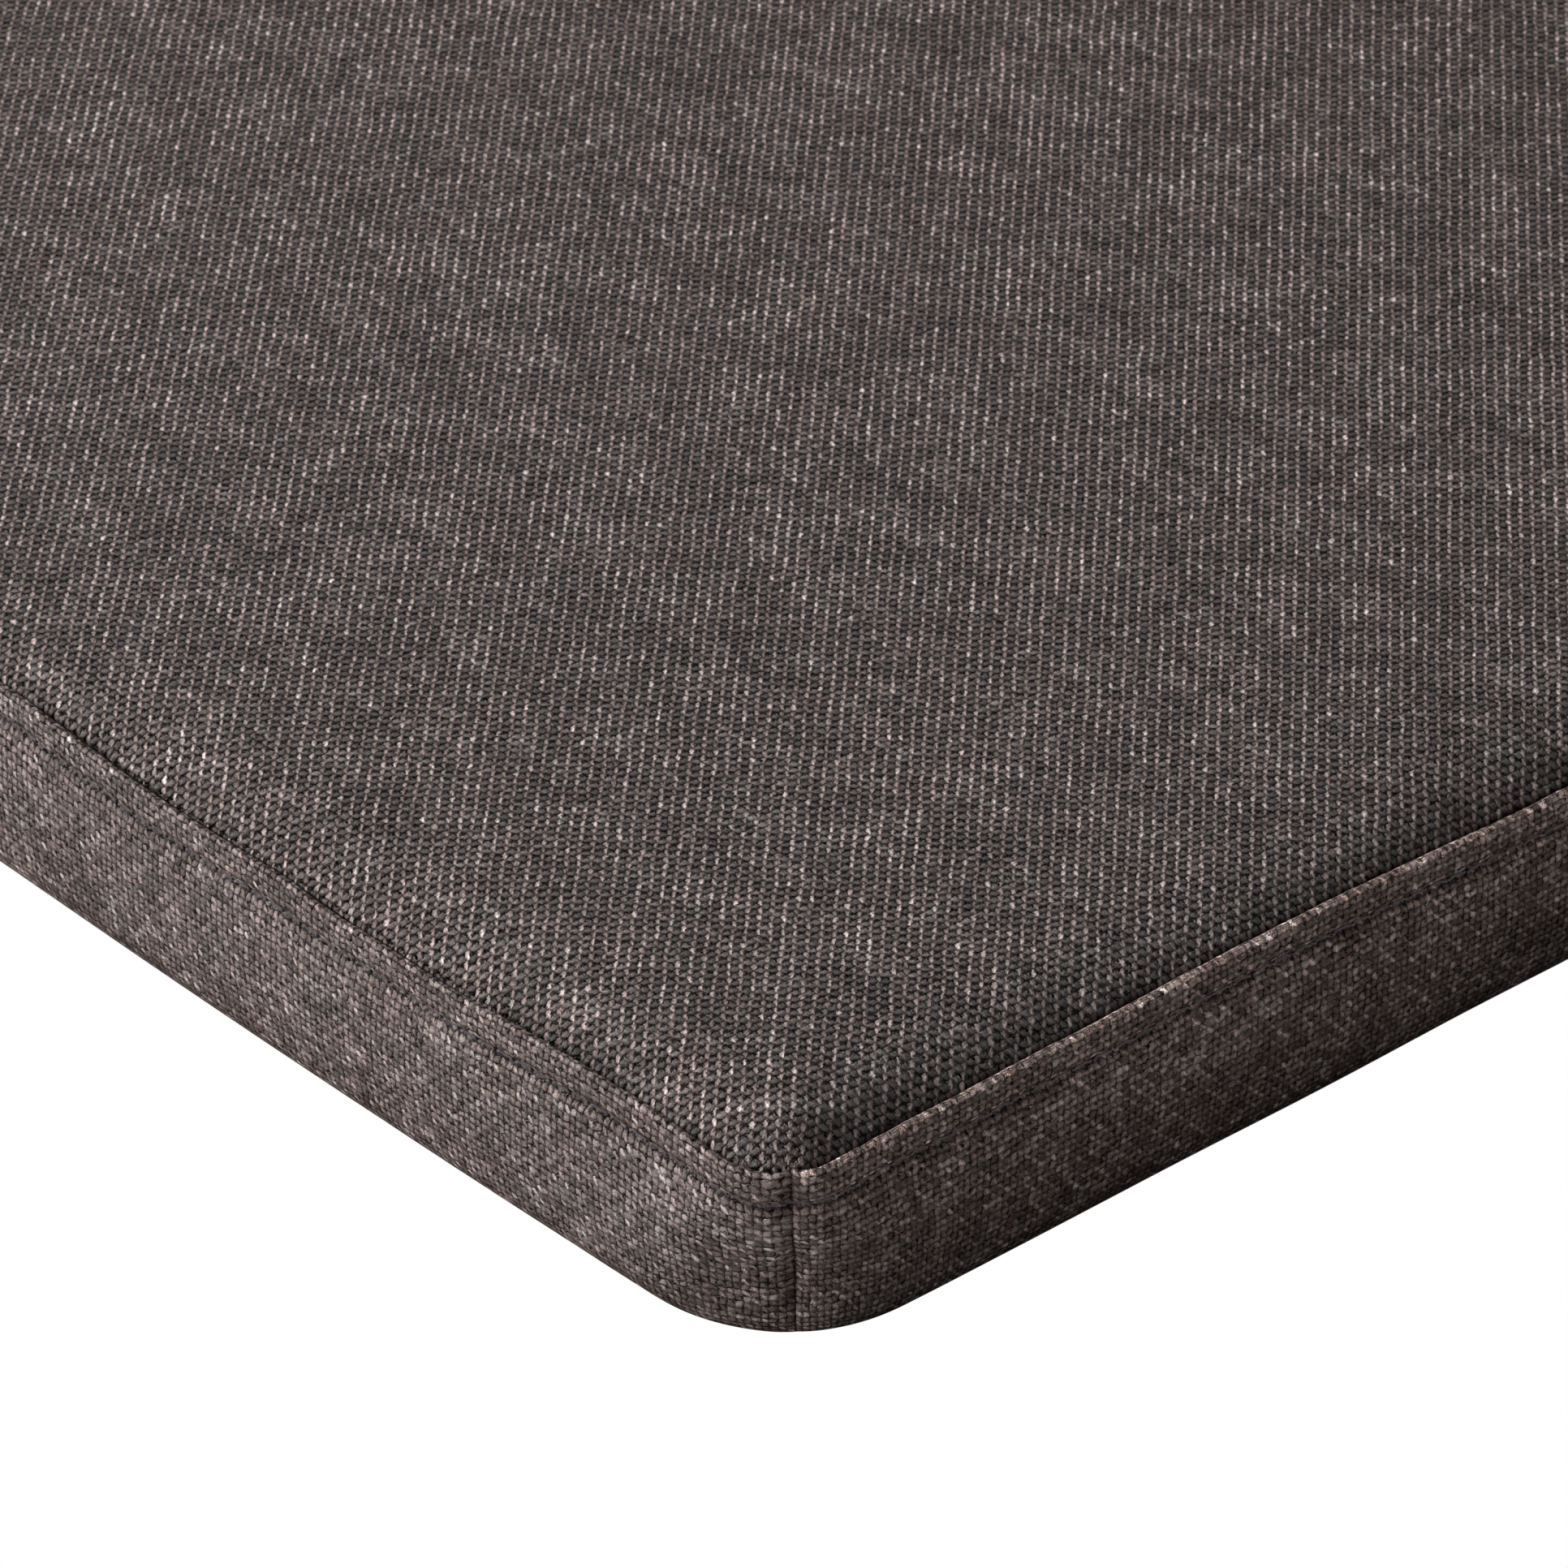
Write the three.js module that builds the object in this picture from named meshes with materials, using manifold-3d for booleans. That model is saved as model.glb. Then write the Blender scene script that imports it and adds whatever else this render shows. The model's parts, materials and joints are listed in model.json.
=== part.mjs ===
// Kneeling pad: a flat boxed pad with a removable zipped fabric cover.
// Millimetres, +Z up. The origin is the centre of the underside, X runs along the
// length, Y across the depth. Front is -Y, right is +X; the zip is in the back (+Y) wall.
import * as THREE from 'three';
import { mergeVertices } from 'three/addons/utils/BufferGeometryUtils.js';
import Module from 'manifold-3d';

const wasm = await Module();
wasm.setup();

// ---------- driving dimensions ----------
// An inset is a distance in from the overall outline.
const LENGTH = 450;          // overall, X
const DEPTH = 300;           // overall, Y
const THICK = 30;            // overall, Z
const HALF_X = LENGTH / 2;
const HALF_Y = DEPTH / 2;
const CORNER_R = 14;         // plan radius of the four corners
const EDGE_R = 8;            // radius where the side wall rolls under
const CLOTH = 1.2;           // cover cloth with its backing
const GAP = 0.3;             // clearance between neighbouring solids
const BAND_H = 5;            // height of the stitched-down seam band below the top edge
const BAND_PROUD = 0.8;      // how far that band stands out from the wall
const WALL_OUT = BAND_PROUD;        // inset of the wall's outer face
const WALL_IN = WALL_OUT + CLOTH;   // and of its inner face
const PANEL_DROP = 0.6;      // top panel lies this far below the ridge of the seam
const BASE_SEAM = 12;        // inset of the underside seam
const OVERCUT = 5;           // how far cutting solids run past what they cut

// ---------- helpers ----------
function solid(geometry) {
  // drop normals and uvs so that vertices shared between faces can merge
  geometry.deleteAttribute('normal');
  geometry.deleteAttribute('uv');
  const merged = mergeVertices(geometry, 1e-4);
  return new wasm.Manifold(new wasm.Mesh({
    numProp: 3,
    vertProperties: new Float32Array(merged.getAttribute('position').array),
    triVerts: new Uint32Array(merged.index.array),
  }));
}

function box(x0, x1, y0, y1, z0, z1) {
  const geometry = new THREE.BoxGeometry(x1 - x0, y1 - y0, z1 - z0);
  geometry.translate((x0 + x1) / 2, (y0 + y1) / 2, (z0 + z1) / 2);
  return solid(geometry);
}

function roundedRect(halfX, halfY, r) {
  const shape = new THREE.Shape();
  shape.moveTo(-halfX + r, -halfY);
  shape.lineTo(halfX - r, -halfY);
  shape.absarc(halfX - r, -halfY + r, r, -Math.PI / 2, 0, false);
  shape.lineTo(halfX, halfY - r);
  shape.absarc(halfX - r, halfY - r, r, 0, Math.PI / 2, false);
  shape.lineTo(-halfX + r, halfY);
  shape.absarc(-halfX + r, halfY - r, r, Math.PI / 2, Math.PI, false);
  shape.lineTo(-halfX, -halfY + r);
  shape.absarc(-halfX + r, -halfY + r, r, Math.PI, 1.5 * Math.PI, false);
  return shape;
}

// a slab with the pad's plan outline drawn in by `inset`, from z0 to z1, with its
// lower edge rolled under by `roll`
function slab(inset, z0, z1, roll = 0) {
  const minRadius = 0.8;
  const outline = roundedRect(
    HALF_X - inset - roll,
    HALF_Y - inset - roll,
    Math.max(CORNER_R - inset - roll, minRadius),
  );
  if (roll <= 0) {
    const geometry = new THREE.ExtrudeGeometry(outline, {
      depth: z1 - z0, bevelEnabled: false, curveSegments: 7,
    });
    geometry.translate(0, 0, z0);
    return solid(geometry);
  }
  // extruded too tall, then cut at z1, so that only the lower bevel remains
  const geometry = new THREE.ExtrudeGeometry(outline, {
    depth: z1 - z0 + OVERCUT, bevelEnabled: true, bevelThickness: roll, bevelSize: roll,
    bevelSegments: 4, curveSegments: 7,
  });
  geometry.translate(0, 0, z0 + roll);
  const endX = HALF_X + OVERCUT;
  const endY = HALF_Y + OVERCUT;
  return solid(geometry).intersect(box(-endX, endX, -endY, endY, z0 - OVERCUT, z1));
}

// a closed ring following the outline, between two insets
function ring(insetOut, insetIn, z0, z1) {
  return slab(insetOut, z0, z1).subtract(slab(insetIn, z0 - OVERCUT, z1 + OVERCUT));
}

// a shape drawn in X and Z, given thickness along Y from y0 to y1
function plateXZ(shape, y0, y1, { bevel = 0, curveSegments = 8 } = {}) {
  const geometry = new THREE.ExtrudeGeometry(shape, {
    depth: y1 - y0 - 2 * bevel, bevelEnabled: bevel > 0, bevelThickness: bevel,
    bevelSize: bevel, bevelOffset: -bevel, bevelSegments: 2, curveSegments,
  });
  geometry.translate(0, 0, -y1 + bevel);
  geometry.rotateX(Math.PI / 2);
  return solid(geometry);
}

// a round bar along Z, centred on the origin
function barZ(radius, length, segments) {
  const geometry = new THREE.CylinderGeometry(radius, radius, length, segments);
  geometry.rotateX(Math.PI / 2);
  return solid(geometry);
}

// ---------- materials ----------
const finish = {
  cloth: { color: 0x5a504e, roughness: 0.9, metalness: 0 },
  base: { color: 0x2c2a2a, roughness: 0.85, metalness: 0 },
  foamFirm: { color: 0xb9b7b0, roughness: 0.95, metalness: 0 },
  foamSoft: { color: 0xe3d9b8, roughness: 0.95, metalness: 0 },
  wadding: { color: 0xf0eeea, roughness: 1, metalness: 0 },
  thread: { color: 0x6a6068, roughness: 0.7, metalness: 0 },
  tape: { color: 0x4a4341, roughness: 0.85, metalness: 0 },
  coil: { color: 0x3d3836, roughness: 0.45, metalness: 0 },
  metal: { color: 0x3a3836, roughness: 0.35, metalness: 0.9 },
};

const group = new THREE.Group();

function piece(name, body, look) {
  const { vertProperties, triVerts } = body.getMesh();
  const geometry = new THREE.BufferGeometry();
  geometry.setAttribute(
    'position',
    new THREE.BufferAttribute(new Float32Array(vertProperties), 3),
  );
  geometry.setIndex(new THREE.BufferAttribute(new Uint32Array(triVerts), 1));
  geometry.computeVertexNormals();
  const mesh = new THREE.Mesh(geometry, new THREE.MeshStandardMaterial(finish[look]));
  mesh.name = name;
  group.add(mesh);
}

// ---------- cover: side walls ----------
// all four walls in one: the rolled wall and its band, less the inside and the
// opening that the base panel fills
const shell = slab(WALL_OUT, 0, THICK, EDGE_R)
  .add(slab(0, THICK - BAND_H, THICK))
  .subtract(slab(WALL_IN, CLOTH, THICK + OVERCUT, EDGE_R - CLOTH))
  .subtract(slab(BASE_SEAM, -OVERCUT, CLOTH + OVERCUT));

// The walls meet at a vertical seam on each corner's diagonal. A wall's sector runs
// between two corners, given by the signs of their X and Y, in counterclockwise order.
const SEAM_SHIFT = 0.22;     // each sector moves out by this, which opens the seams
const SECTOR_REACH = 60;     // from the overall outline in to the sector's inner edge

function wall([startX, startY], [endX, endY]) {
  const shiftX = SEAM_SHIFT * (startX + endX) / 2;
  const shiftY = SEAM_SHIFT * (startY + endY) / 2;
  const corner = (signX, signY, outward) => new THREE.Vector2(
    signX * (HALF_X + outward) + shiftX,
    signY * (HALF_Y + outward) + shiftY,
  );
  const sector = new THREE.Shape([
    corner(startX, startY, OVERCUT),
    corner(endX, endY, OVERCUT),
    corner(endX, endY, -SECTOR_REACH),
    corner(startX, startY, -SECTOR_REACH),
  ]);
  const geometry = new THREE.ExtrudeGeometry(sector, {
    depth: THICK + 2 * OVERCUT, bevelEnabled: false,
  });
  geometry.translate(0, 0, -OVERCUT);
  return shell.intersect(solid(geometry));
}

piece('boxing_front', wall([-1, -1], [1, -1]), 'cloth');
piece('boxing_right', wall([1, -1], [1, 1]), 'cloth');
piece('boxing_left', wall([-1, 1], [-1, -1]), 'cloth');

// the zip side: an upper and a lower strip, with a short tab closing each end
const ZIP_Z = 16;            // centre line of the chain
const ZIP_WINDOW = 10;       // between the two folded cloth edges
const ZIP_HALF = 199;        // half length of the window
const windowTop = ZIP_Z + ZIP_WINDOW / 2;
const windowLow = ZIP_Z - ZIP_WINDOW / 2;
const backWall = wall([1, 1], [-1, 1]);
const pastEnd = HALF_X + OVERCUT;

function backPart(x0, x1, z0, z1) {
  return backWall.intersect(box(x0, x1, 0, HALF_Y + OVERCUT, z0, z1));
}

piece('boxing_back_upper', backPart(-pastEnd, pastEnd, windowTop, THICK + OVERCUT), 'cloth');
piece('boxing_back_lower', backPart(-pastEnd, pastEnd, -OVERCUT, windowLow), 'cloth');
const endTabZ = [windowLow + GAP, windowTop - GAP];
piece('zip_end_tab_right', backPart(ZIP_HALF, pastEnd, ...endTabZ), 'cloth');
piece('zip_end_tab_left', backPart(-pastEnd, -ZIP_HALF, ...endTabZ), 'cloth');

// ---------- cover: top and base panels ----------
const panelTop = THICK - PANEL_DROP;
piece('top_panel', slab(WALL_IN + GAP, panelTop - CLOTH, panelTop), 'cloth');
piece('base_panel', slab(BASE_SEAM + GAP, 0, CLOTH), 'base');

// ---------- filling ----------
const FOAM_BOTTOM = 2.2;
const FOAM_BASE_TOP = 13.5;  // firm layer
const FOAM_TOP = 25.3;       // comfort layer
const WADDING_TOP = 27.9;
const FOAM_ROLL = 6;         // roll of the firm layer's lower edge
const FOAM_INSET = 3.2;
const FOAM_ZIP_INSET = 6;    // the same at the zip side, where the slider needs room

const foamZone = box(-HALF_X, HALF_X, -HALF_Y, HALF_Y - FOAM_ZIP_INSET, 0, THICK);
function filling(z0, z1, roll) {
  return slab(FOAM_INSET, z0, z1, roll).intersect(foamZone);
}
piece('foam_base_layer', filling(FOAM_BOTTOM, FOAM_BASE_TOP, FOAM_ROLL), 'foamFirm');
piece('foam_comfort_layer', filling(FOAM_BASE_TOP + GAP, FOAM_TOP), 'foamSoft');
piece('wadding_sheet', filling(FOAM_TOP + GAP, WADDING_TOP), 'wadding');

// ---------- sewing threads ----------
const THREAD = 0.4;          // thickness
const THREAD_OFF = 0.15;     // from the wall's outer face out to the thread
const TOP_SEAM_Z = 26.9;     // underside of the top seam thread
const BASE_SEAM_LIFT = 0.2;  // base seam thread above the base cloth
const CORNER_SEAM_Z = 8.5;   // lower end of the corner threads
const CORNER_SEAM_LEN = 17.5;
const ZIP_STITCH = 1.8;      // from a window edge to its stitch line

const outerThread = WALL_OUT - THREAD_OFF;
const topstitchZ = THICK - BAND_H - GAP;
const topSeam = WALL_IN + GAP;
const baseSeamZ = CLOTH + BASE_SEAM_LIFT;
// columns: name, outer inset, inner inset, lower Z
const threadRings = [
  ['topstitch_thread', outerThread - THREAD, outerThread, topstitchZ - THREAD],
  ['top_seam_thread', topSeam, topSeam + THREAD, TOP_SEAM_Z],
  ['base_seam_thread', BASE_SEAM - THREAD, BASE_SEAM, baseSeamZ],
];
for (const [name, insetOut, insetIn, z] of threadRings) {
  piece(name, ring(insetOut, insetIn, z, z + THREAD), 'thread');
}

// an upright thread inside each corner, on the diagonal
const seamR = CORNER_R - WALL_IN - GAP - THREAD / 2;
const seamFromCorner = -CORNER_R + seamR * Math.SQRT1_2;
const corners = [
  ['front_right', 1, -1],
  ['front_left', -1, -1],
  ['back_right', 1, 1],
  ['back_left', -1, 1],
];
for (const [name, signX, signY] of corners) {
  const thread = barZ(THREAD / 2, CORNER_SEAM_LEN, 8).translate([
    signX * (HALF_X + seamFromCorner),
    signY * (HALF_Y + seamFromCorner),
    CORNER_SEAM_Z + CORNER_SEAM_LEN / 2,
  ]);
  piece(`corner_seam_thread_${name}`, thread, 'thread');
}

function zipStitch(z) {
  const y = HALF_Y - outerThread;
  return box(-ZIP_HALF, ZIP_HALF, y, y + THREAD, z, z + THREAD);
}
piece('zip_stitch_upper', zipStitch(windowTop + ZIP_STITCH), 'thread');
piece('zip_stitch_lower', zipStitch(windowLow - ZIP_STITCH - THREAD), 'thread');

// ---------- zip: tapes, coil and stops ----------
const TAPE_T = 0.7;
const TAPE_INSET = 2.3;      // of the tapes' outer face
const TAPE_HALF = 206;       // half length
const TAPE_SPLIT = 0.5;      // half the slit between the tapes
const TAPE_UP = 8.5;         // chain centre to the upper tape's far edge
const TAPE_DOWN = 9;         // and to the lower tape's
const COIL_IN = 0.35;        // half the slit between the coil rows
const COIL_OUT = 3.0;        // chain centre to the outer edge of a row
const COIL_H = 2.0;          // along Y
const COIL_OFF = 0.15;       // from the tape face out to the coil
const CHAIN_START = -186;    // open end of the coil
const CHAIN_END = 193;       // closed end of the coil
const TOP_STOP_END = 3.5;    // far end of the top stops, past the chain
const BOTTOM_STOP_END = 4;   // the same for the bottom stop
const STOP_BEVEL = 0.25;
const STOP_CORNER_R = 0.5;

const tapeOuter = HALF_Y - TAPE_INSET;
const tapeInner = tapeOuter - TAPE_T;
function tape(z0, z1) {
  return box(-TAPE_HALF, TAPE_HALF, tapeInner, tapeOuter, z0, z1);
}
piece('zip_tape_upper', tape(ZIP_Z + TAPE_SPLIT, ZIP_Z + TAPE_UP), 'tape');
piece('zip_tape_lower', tape(ZIP_Z - TAPE_DOWN, ZIP_Z - TAPE_SPLIT), 'tape');

const coilInner = tapeOuter + COIL_OFF;
const coilOuter = coilInner + COIL_H;
// columns: side, lower Z, upper Z
const coilRows = [
  ['upper', ZIP_Z + COIL_IN, ZIP_Z + COIL_OUT],
  ['lower', ZIP_Z - COIL_OUT, ZIP_Z - COIL_IN],
];
for (const [side, z0, z1] of coilRows) {
  piece(`zip_coil_${side}`, box(CHAIN_START, CHAIN_END, coilInner, coilOuter, z0, z1), 'coil');
}

// pressed metal clips at the ends of the chain
function stop(x0, x1, z0, z1) {
  const outline = roundedRect((x1 - x0) / 2, (z1 - z0) / 2, STOP_CORNER_R);
  return plateXZ(outline, coilInner, coilOuter, { bevel: STOP_BEVEL, curveSegments: 3 })
    .translate([(x0 + x1) / 2, 0, (z0 + z1) / 2]);
}
for (const [side, z0, z1] of coilRows) {
  const body = stop(CHAIN_END + GAP, CHAIN_END + TOP_STOP_END, z0, z1);
  piece(`zip_top_stop_${side}`, body, 'metal');
}
piece('zip_bottom_stop', stop(
  CHAIN_START - BOTTOM_STOP_END, CHAIN_START - GAP, ZIP_Z - COIL_OUT, ZIP_Z + COIL_OUT,
), 'metal');

// ---------- zip: slider ----------
// Slider and pull tab are drawn with X and Z from the slider's centre, Y as in the pad.
const SLIDER_X = 186.5;      // slider centre, zip closed
const SLIDER_HALF_LEN = 5.5;
const WIDE_HALF = 4.75;      // half width at the +X end
const NARROW_HALF = 4.05;    // half width at the -X end
const PLATE_T = 1.0;
const INNER_SHRINK = 0.3;    // inner plate smaller than the outer, all round
const FLANGE_SINK = 0.3;     // flanges into the outer plate
const POST = { x0: 1.1, x1: 4.1, halfZ: 0.2, sink: 0.2 };
const BAIL_SINK = 0.2;       // bail's feet into the outer plate

const outerPlateY = coilOuter + GAP;
const outerPlateTop = outerPlateY + PLATE_T;
const innerPlateY = tapeInner - GAP;

function sliderOutline(shrink = 0) {
  const wide = WIDE_HALF - shrink;
  const narrow = NARROW_HALF - shrink;
  const end = SLIDER_HALF_LEN - shrink;
  const shape = new THREE.Shape();
  shape.moveTo(-end + 1.3, -narrow);
  shape.lineTo(end - 2.2, -wide);
  shape.quadraticCurveTo(end, -wide + 0.1, end, -wide + 2.4);
  // shallow notch in the wide end
  shape.quadraticCurveTo(end, -0.9, end - 0.9, 0);
  shape.quadraticCurveTo(end, 0.9, end, wide - 2.4);
  shape.quadraticCurveTo(end, wide - 0.1, end - 2.2, wide);
  shape.lineTo(-end + 1.3, narrow);
  shape.quadraticCurveTo(-end, narrow, -end, narrow - 1.3);
  shape.lineTo(-end, -narrow + 1.3);
  shape.quadraticCurveTo(-end, -narrow, -end + 1.3, -narrow);
  return shape;
}

// a strip beside the coil; side is +1 above it, -1 below
function flange(side) {
  const inner = COIL_OUT + GAP;
  const shape = new THREE.Shape();
  shape.moveTo(-SLIDER_HALF_LEN + 0.5, side * inner);
  shape.lineTo(SLIDER_HALF_LEN - 1.4, side * inner);
  shape.lineTo(SLIDER_HALF_LEN - 1.9, side * 4.6);
  shape.lineTo(-SLIDER_HALF_LEN + 1.2, side * 3.95);
  shape.closePath();
  return plateXZ(shape, tapeOuter + GAP, outerPlateY + FLANGE_SINK);
}

// an arch on the outer plate, drawn in X and Y
function bail() {
  const foot = outerPlateTop - BAIL_SINK;
  const outerX = 3.9;
  const innerX = 2.75;
  const crown = foot + 2.65;
  const underside = foot + 1.6;
  const shape = new THREE.Shape();
  shape.moveTo(-outerX, foot);
  shape.lineTo(-outerX, foot + 1.1);
  shape.quadraticCurveTo(-outerX, crown, -2.2, crown);
  shape.lineTo(2.2, crown);
  shape.quadraticCurveTo(outerX, crown, outerX, foot + 1.1);
  shape.lineTo(outerX, foot);
  shape.lineTo(innerX, foot);
  shape.lineTo(innerX, foot + 0.9);
  shape.quadraticCurveTo(innerX, underside, 2.0, underside);
  shape.lineTo(-2.0, underside);
  shape.quadraticCurveTo(-innerX, underside, -innerX, foot + 0.9);
  shape.lineTo(-innerX, foot);
  shape.closePath();
  const depth = 1.6;         // along Z, between the bevels
  const geometry = new THREE.ExtrudeGeometry(shape, {
    depth, bevelEnabled: true, bevelThickness: 0.3, bevelSize: 0.25,
    bevelOffset: -0.25, bevelSegments: 2, curveSegments: 6,
  });
  geometry.translate(0, 0, -depth / 2);
  return solid(geometry);
}

// a thin post between the coil rows, joining the plates
function post() {
  const { x0, x1, halfZ, sink } = POST;
  return box(x0, x1, innerPlateY - sink, outerPlateY + sink, -halfZ, halfZ);
}

const outerPlate = plateXZ(sliderOutline(), outerPlateY, outerPlateTop, { bevel: 0.25 });
const innerPlate = plateXZ(
  sliderOutline(INNER_SHRINK), innerPlateY - PLATE_T, innerPlateY, { bevel: 0.2 },
);
const slider = outerPlate
  .add(innerPlate)
  .add(flange(1))
  .add(flange(-1))
  .add(post())
  .add(bail());
piece('zip_slider_body', slider.translate([SLIDER_X, 0, ZIP_Z]), 'metal');

// ---------- zip: pull tab ----------
// A looped end bar runs through the bail; the tab lies along -X at rest.
const TAB_LEN = 27;
const TAB_T = 0.9;
const TAB_BEVEL = 0.15;
const TAB_HALF = 2.9;        // half width at the bar end
const TAB_NECK = 2.3;        // half width at the neck
const TAB_TIP_R = 3.6;       // rounded free end
const BAR_LIFT = 0.68;       // end bar's centre above the outer plate
const BAR = { radius: 0.5, length: 2 * TAB_HALF };
const SLOT = { x: -1.3, halfX: 3.2, halfZ: 1.55, radius: 0.7 };
const EYE = { x: -TAB_LEN + 3.9, radius: 1.5 };
const barY = outerPlateTop + BAR_LIFT;

function tabOutline() {
  const shape = new THREE.Shape();
  shape.moveTo(0.1, -TAB_HALF);
  shape.lineTo(0.1, TAB_HALF);
  shape.lineTo(-4.6, TAB_HALF);
  shape.quadraticCurveTo(-6.6, TAB_HALF, -7.4, TAB_NECK);
  shape.lineTo(-TAB_LEN + 7, 3.3);
  shape.absarc(-TAB_LEN + TAB_TIP_R, 0, TAB_TIP_R, Math.PI * 0.4, Math.PI * 1.6, false);
  shape.lineTo(-7.4, -TAB_NECK);
  shape.quadraticCurveTo(-6.6, -TAB_HALF, -4.6, -TAB_HALF);
  return shape;
}

function pullTab() {
  const slotOutline = roundedRect(SLOT.halfX, SLOT.halfZ, SLOT.radius);
  const slot = plateXZ(slotOutline, barY - OVERCUT, barY + OVERCUT)
    .translate([SLOT.x, 0, 0]);
  const eye = new THREE.CylinderGeometry(EYE.radius, EYE.radius, 2 * OVERCUT, 20);
  eye.translate(EYE.x, barY, 0);
  return plateXZ(tabOutline(), barY - TAB_T / 2, barY + TAB_T / 2, { bevel: TAB_BEVEL })
    .subtract(slot)
    .subtract(solid(eye))
    .add(barZ(BAR.radius, BAR.length, 16).translate([0, barY, 0]));
}
piece('zip_pull_tab', pullTab().translate([SLIDER_X, 0, ZIP_Z]), 'metal');

export default group;
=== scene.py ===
"""Kneeling pad: a zipped cloth cover over wadding and two foam layers, on a non-slip base.

The pad lies flat, centred on the origin in plan, with +z up. Its front wall faces -y, its right
wall +x, and the zip runs along the back wall at +y. Lengths in the mesh helpers are millimetres;
make_mesh turns them into metres. Camera, lights and floor are in metres.
"""
import json
import math
from types import SimpleNamespace

import bpy
import numpy as np
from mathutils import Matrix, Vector

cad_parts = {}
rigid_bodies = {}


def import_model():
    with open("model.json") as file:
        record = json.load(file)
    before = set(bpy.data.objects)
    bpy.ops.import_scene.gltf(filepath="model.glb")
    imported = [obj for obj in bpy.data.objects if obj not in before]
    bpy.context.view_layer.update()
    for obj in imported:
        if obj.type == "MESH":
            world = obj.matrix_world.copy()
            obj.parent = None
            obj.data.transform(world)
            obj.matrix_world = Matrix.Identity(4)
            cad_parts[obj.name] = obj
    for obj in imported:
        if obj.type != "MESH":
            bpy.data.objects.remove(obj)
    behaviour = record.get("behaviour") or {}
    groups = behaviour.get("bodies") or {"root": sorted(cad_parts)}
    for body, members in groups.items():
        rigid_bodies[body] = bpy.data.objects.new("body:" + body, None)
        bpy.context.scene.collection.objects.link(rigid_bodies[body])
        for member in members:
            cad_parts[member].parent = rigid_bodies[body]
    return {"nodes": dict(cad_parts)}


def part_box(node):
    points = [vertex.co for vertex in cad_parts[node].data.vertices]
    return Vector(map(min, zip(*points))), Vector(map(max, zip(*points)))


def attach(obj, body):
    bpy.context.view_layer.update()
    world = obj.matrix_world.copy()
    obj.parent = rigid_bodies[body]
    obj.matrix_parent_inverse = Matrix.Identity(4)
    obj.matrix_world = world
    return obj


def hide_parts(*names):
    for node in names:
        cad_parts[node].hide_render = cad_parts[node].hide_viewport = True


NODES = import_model()["nodes"]
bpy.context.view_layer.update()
MM = 0.001


def cad(node_name):
    """Lower and upper corner of a CAD piece, mm."""
    low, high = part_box(node_name)
    return np.array(low) * 1000.0, np.array(high) * 1000.0


HALF_X = cad("boxing_right")[1][0]
HALF_Y = -cad("boxing_front")[0][1]
TOP = cad("boxing_front")[1][2]

# --------------------------------------------------------------------------
# noise and curves; the noise comes from integer hashes, so each run is the same
# --------------------------------------------------------------------------


def lattice(i, j, seed):
    """Hashed value in -1..1 of a lattice point."""
    n = i.astype(np.int64) * 374761393 + j.astype(np.int64) * 668265263 + seed * 974634777
    n = n & 0xFFFFFFFF
    n = ((n ^ (n >> 13)) * 1274126177) & 0xFFFFFFFF
    n = (n ^ (n >> 16)) & 0xFFFFFFFF
    return (n & 0xFFFFF) / float(0xFFFFF) * 2 - 1


def fade(t):
    return t * t * t * (t * (t * 6 - 15) + 10)


def noise(x, y=0.0, seed=0):
    """Smooth value noise in -1..1 with lattice spacing 1."""
    x, y = np.broadcast_arrays(np.asarray(x, float), np.asarray(y, float))
    i, j = np.floor(x), np.floor(y)
    fade_x, fade_y = fade(x - i), fade(y - j)
    a, b = lattice(i, j, seed), lattice(i + 1, j, seed)
    c, d = lattice(i, j + 1, seed), lattice(i + 1, j + 1, seed)
    return (a + (b - a) * fade_x) * (1 - fade_y) + (c + (d - c) * fade_x) * fade_y


def fbm(x, y=0.0, seed=0, octaves=3):
    """Noise summed over octaves."""
    total, amplitude, frequency = 0.0, 1.0, 1.0
    for k in range(octaves):
        layer = noise(x * frequency + 17.3 * k, y * frequency + 9.1 * k, seed + k)
        total = total + amplitude * layer
        amplitude *= 0.5
        frequency *= 2.03
    return total / 1.75


def smoothstep(start, stop, x):
    """0 at start, 1 at stop; start may be the larger."""
    t = np.clip((np.asarray(x, float) - start) / (stop - start), 0, 1)
    return t * t * (3 - 2 * t)


def bell(x, centre, width):
    return np.exp(-((x - centre) / width) ** 2)


def spline(points, t):
    """Smooth cubic through (t, ...) rows, evaluated at t."""
    table = np.array(points, float)
    x, y = table[:, 0], table[:, 1:]
    h = np.diff(x)
    slope = np.diff(y, axis=0) / h[:, None]
    m = np.zeros_like(y)
    m[1:-1] = (slope[:-1] * h[1:, None] + slope[1:] * h[:-1, None]) / (h[1:] + h[:-1])[:, None]
    m[0], m[-1] = slope[0], slope[-1]
    k = np.clip(np.searchsorted(x, t) - 1, 0, len(h) - 1)
    s = ((t - x[k]) / h[k])[:, None]
    span = h[k][:, None]
    return (
        (2 * s**3 - 3 * s**2 + 1) * y[k]
        + (s**3 - 2 * s**2 + s) * span * m[k]
        + (-2 * s**3 + 3 * s**2) * y[k + 1]
        + (s**3 - s**2) * span * m[k + 1]
    )


# --------------------------------------------------------------------------
# mesh helpers
# --------------------------------------------------------------------------


def add_object(name, data):
    obj = bpy.data.objects.new(name, data)
    bpy.context.scene.collection.objects.link(obj)
    return obj


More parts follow.
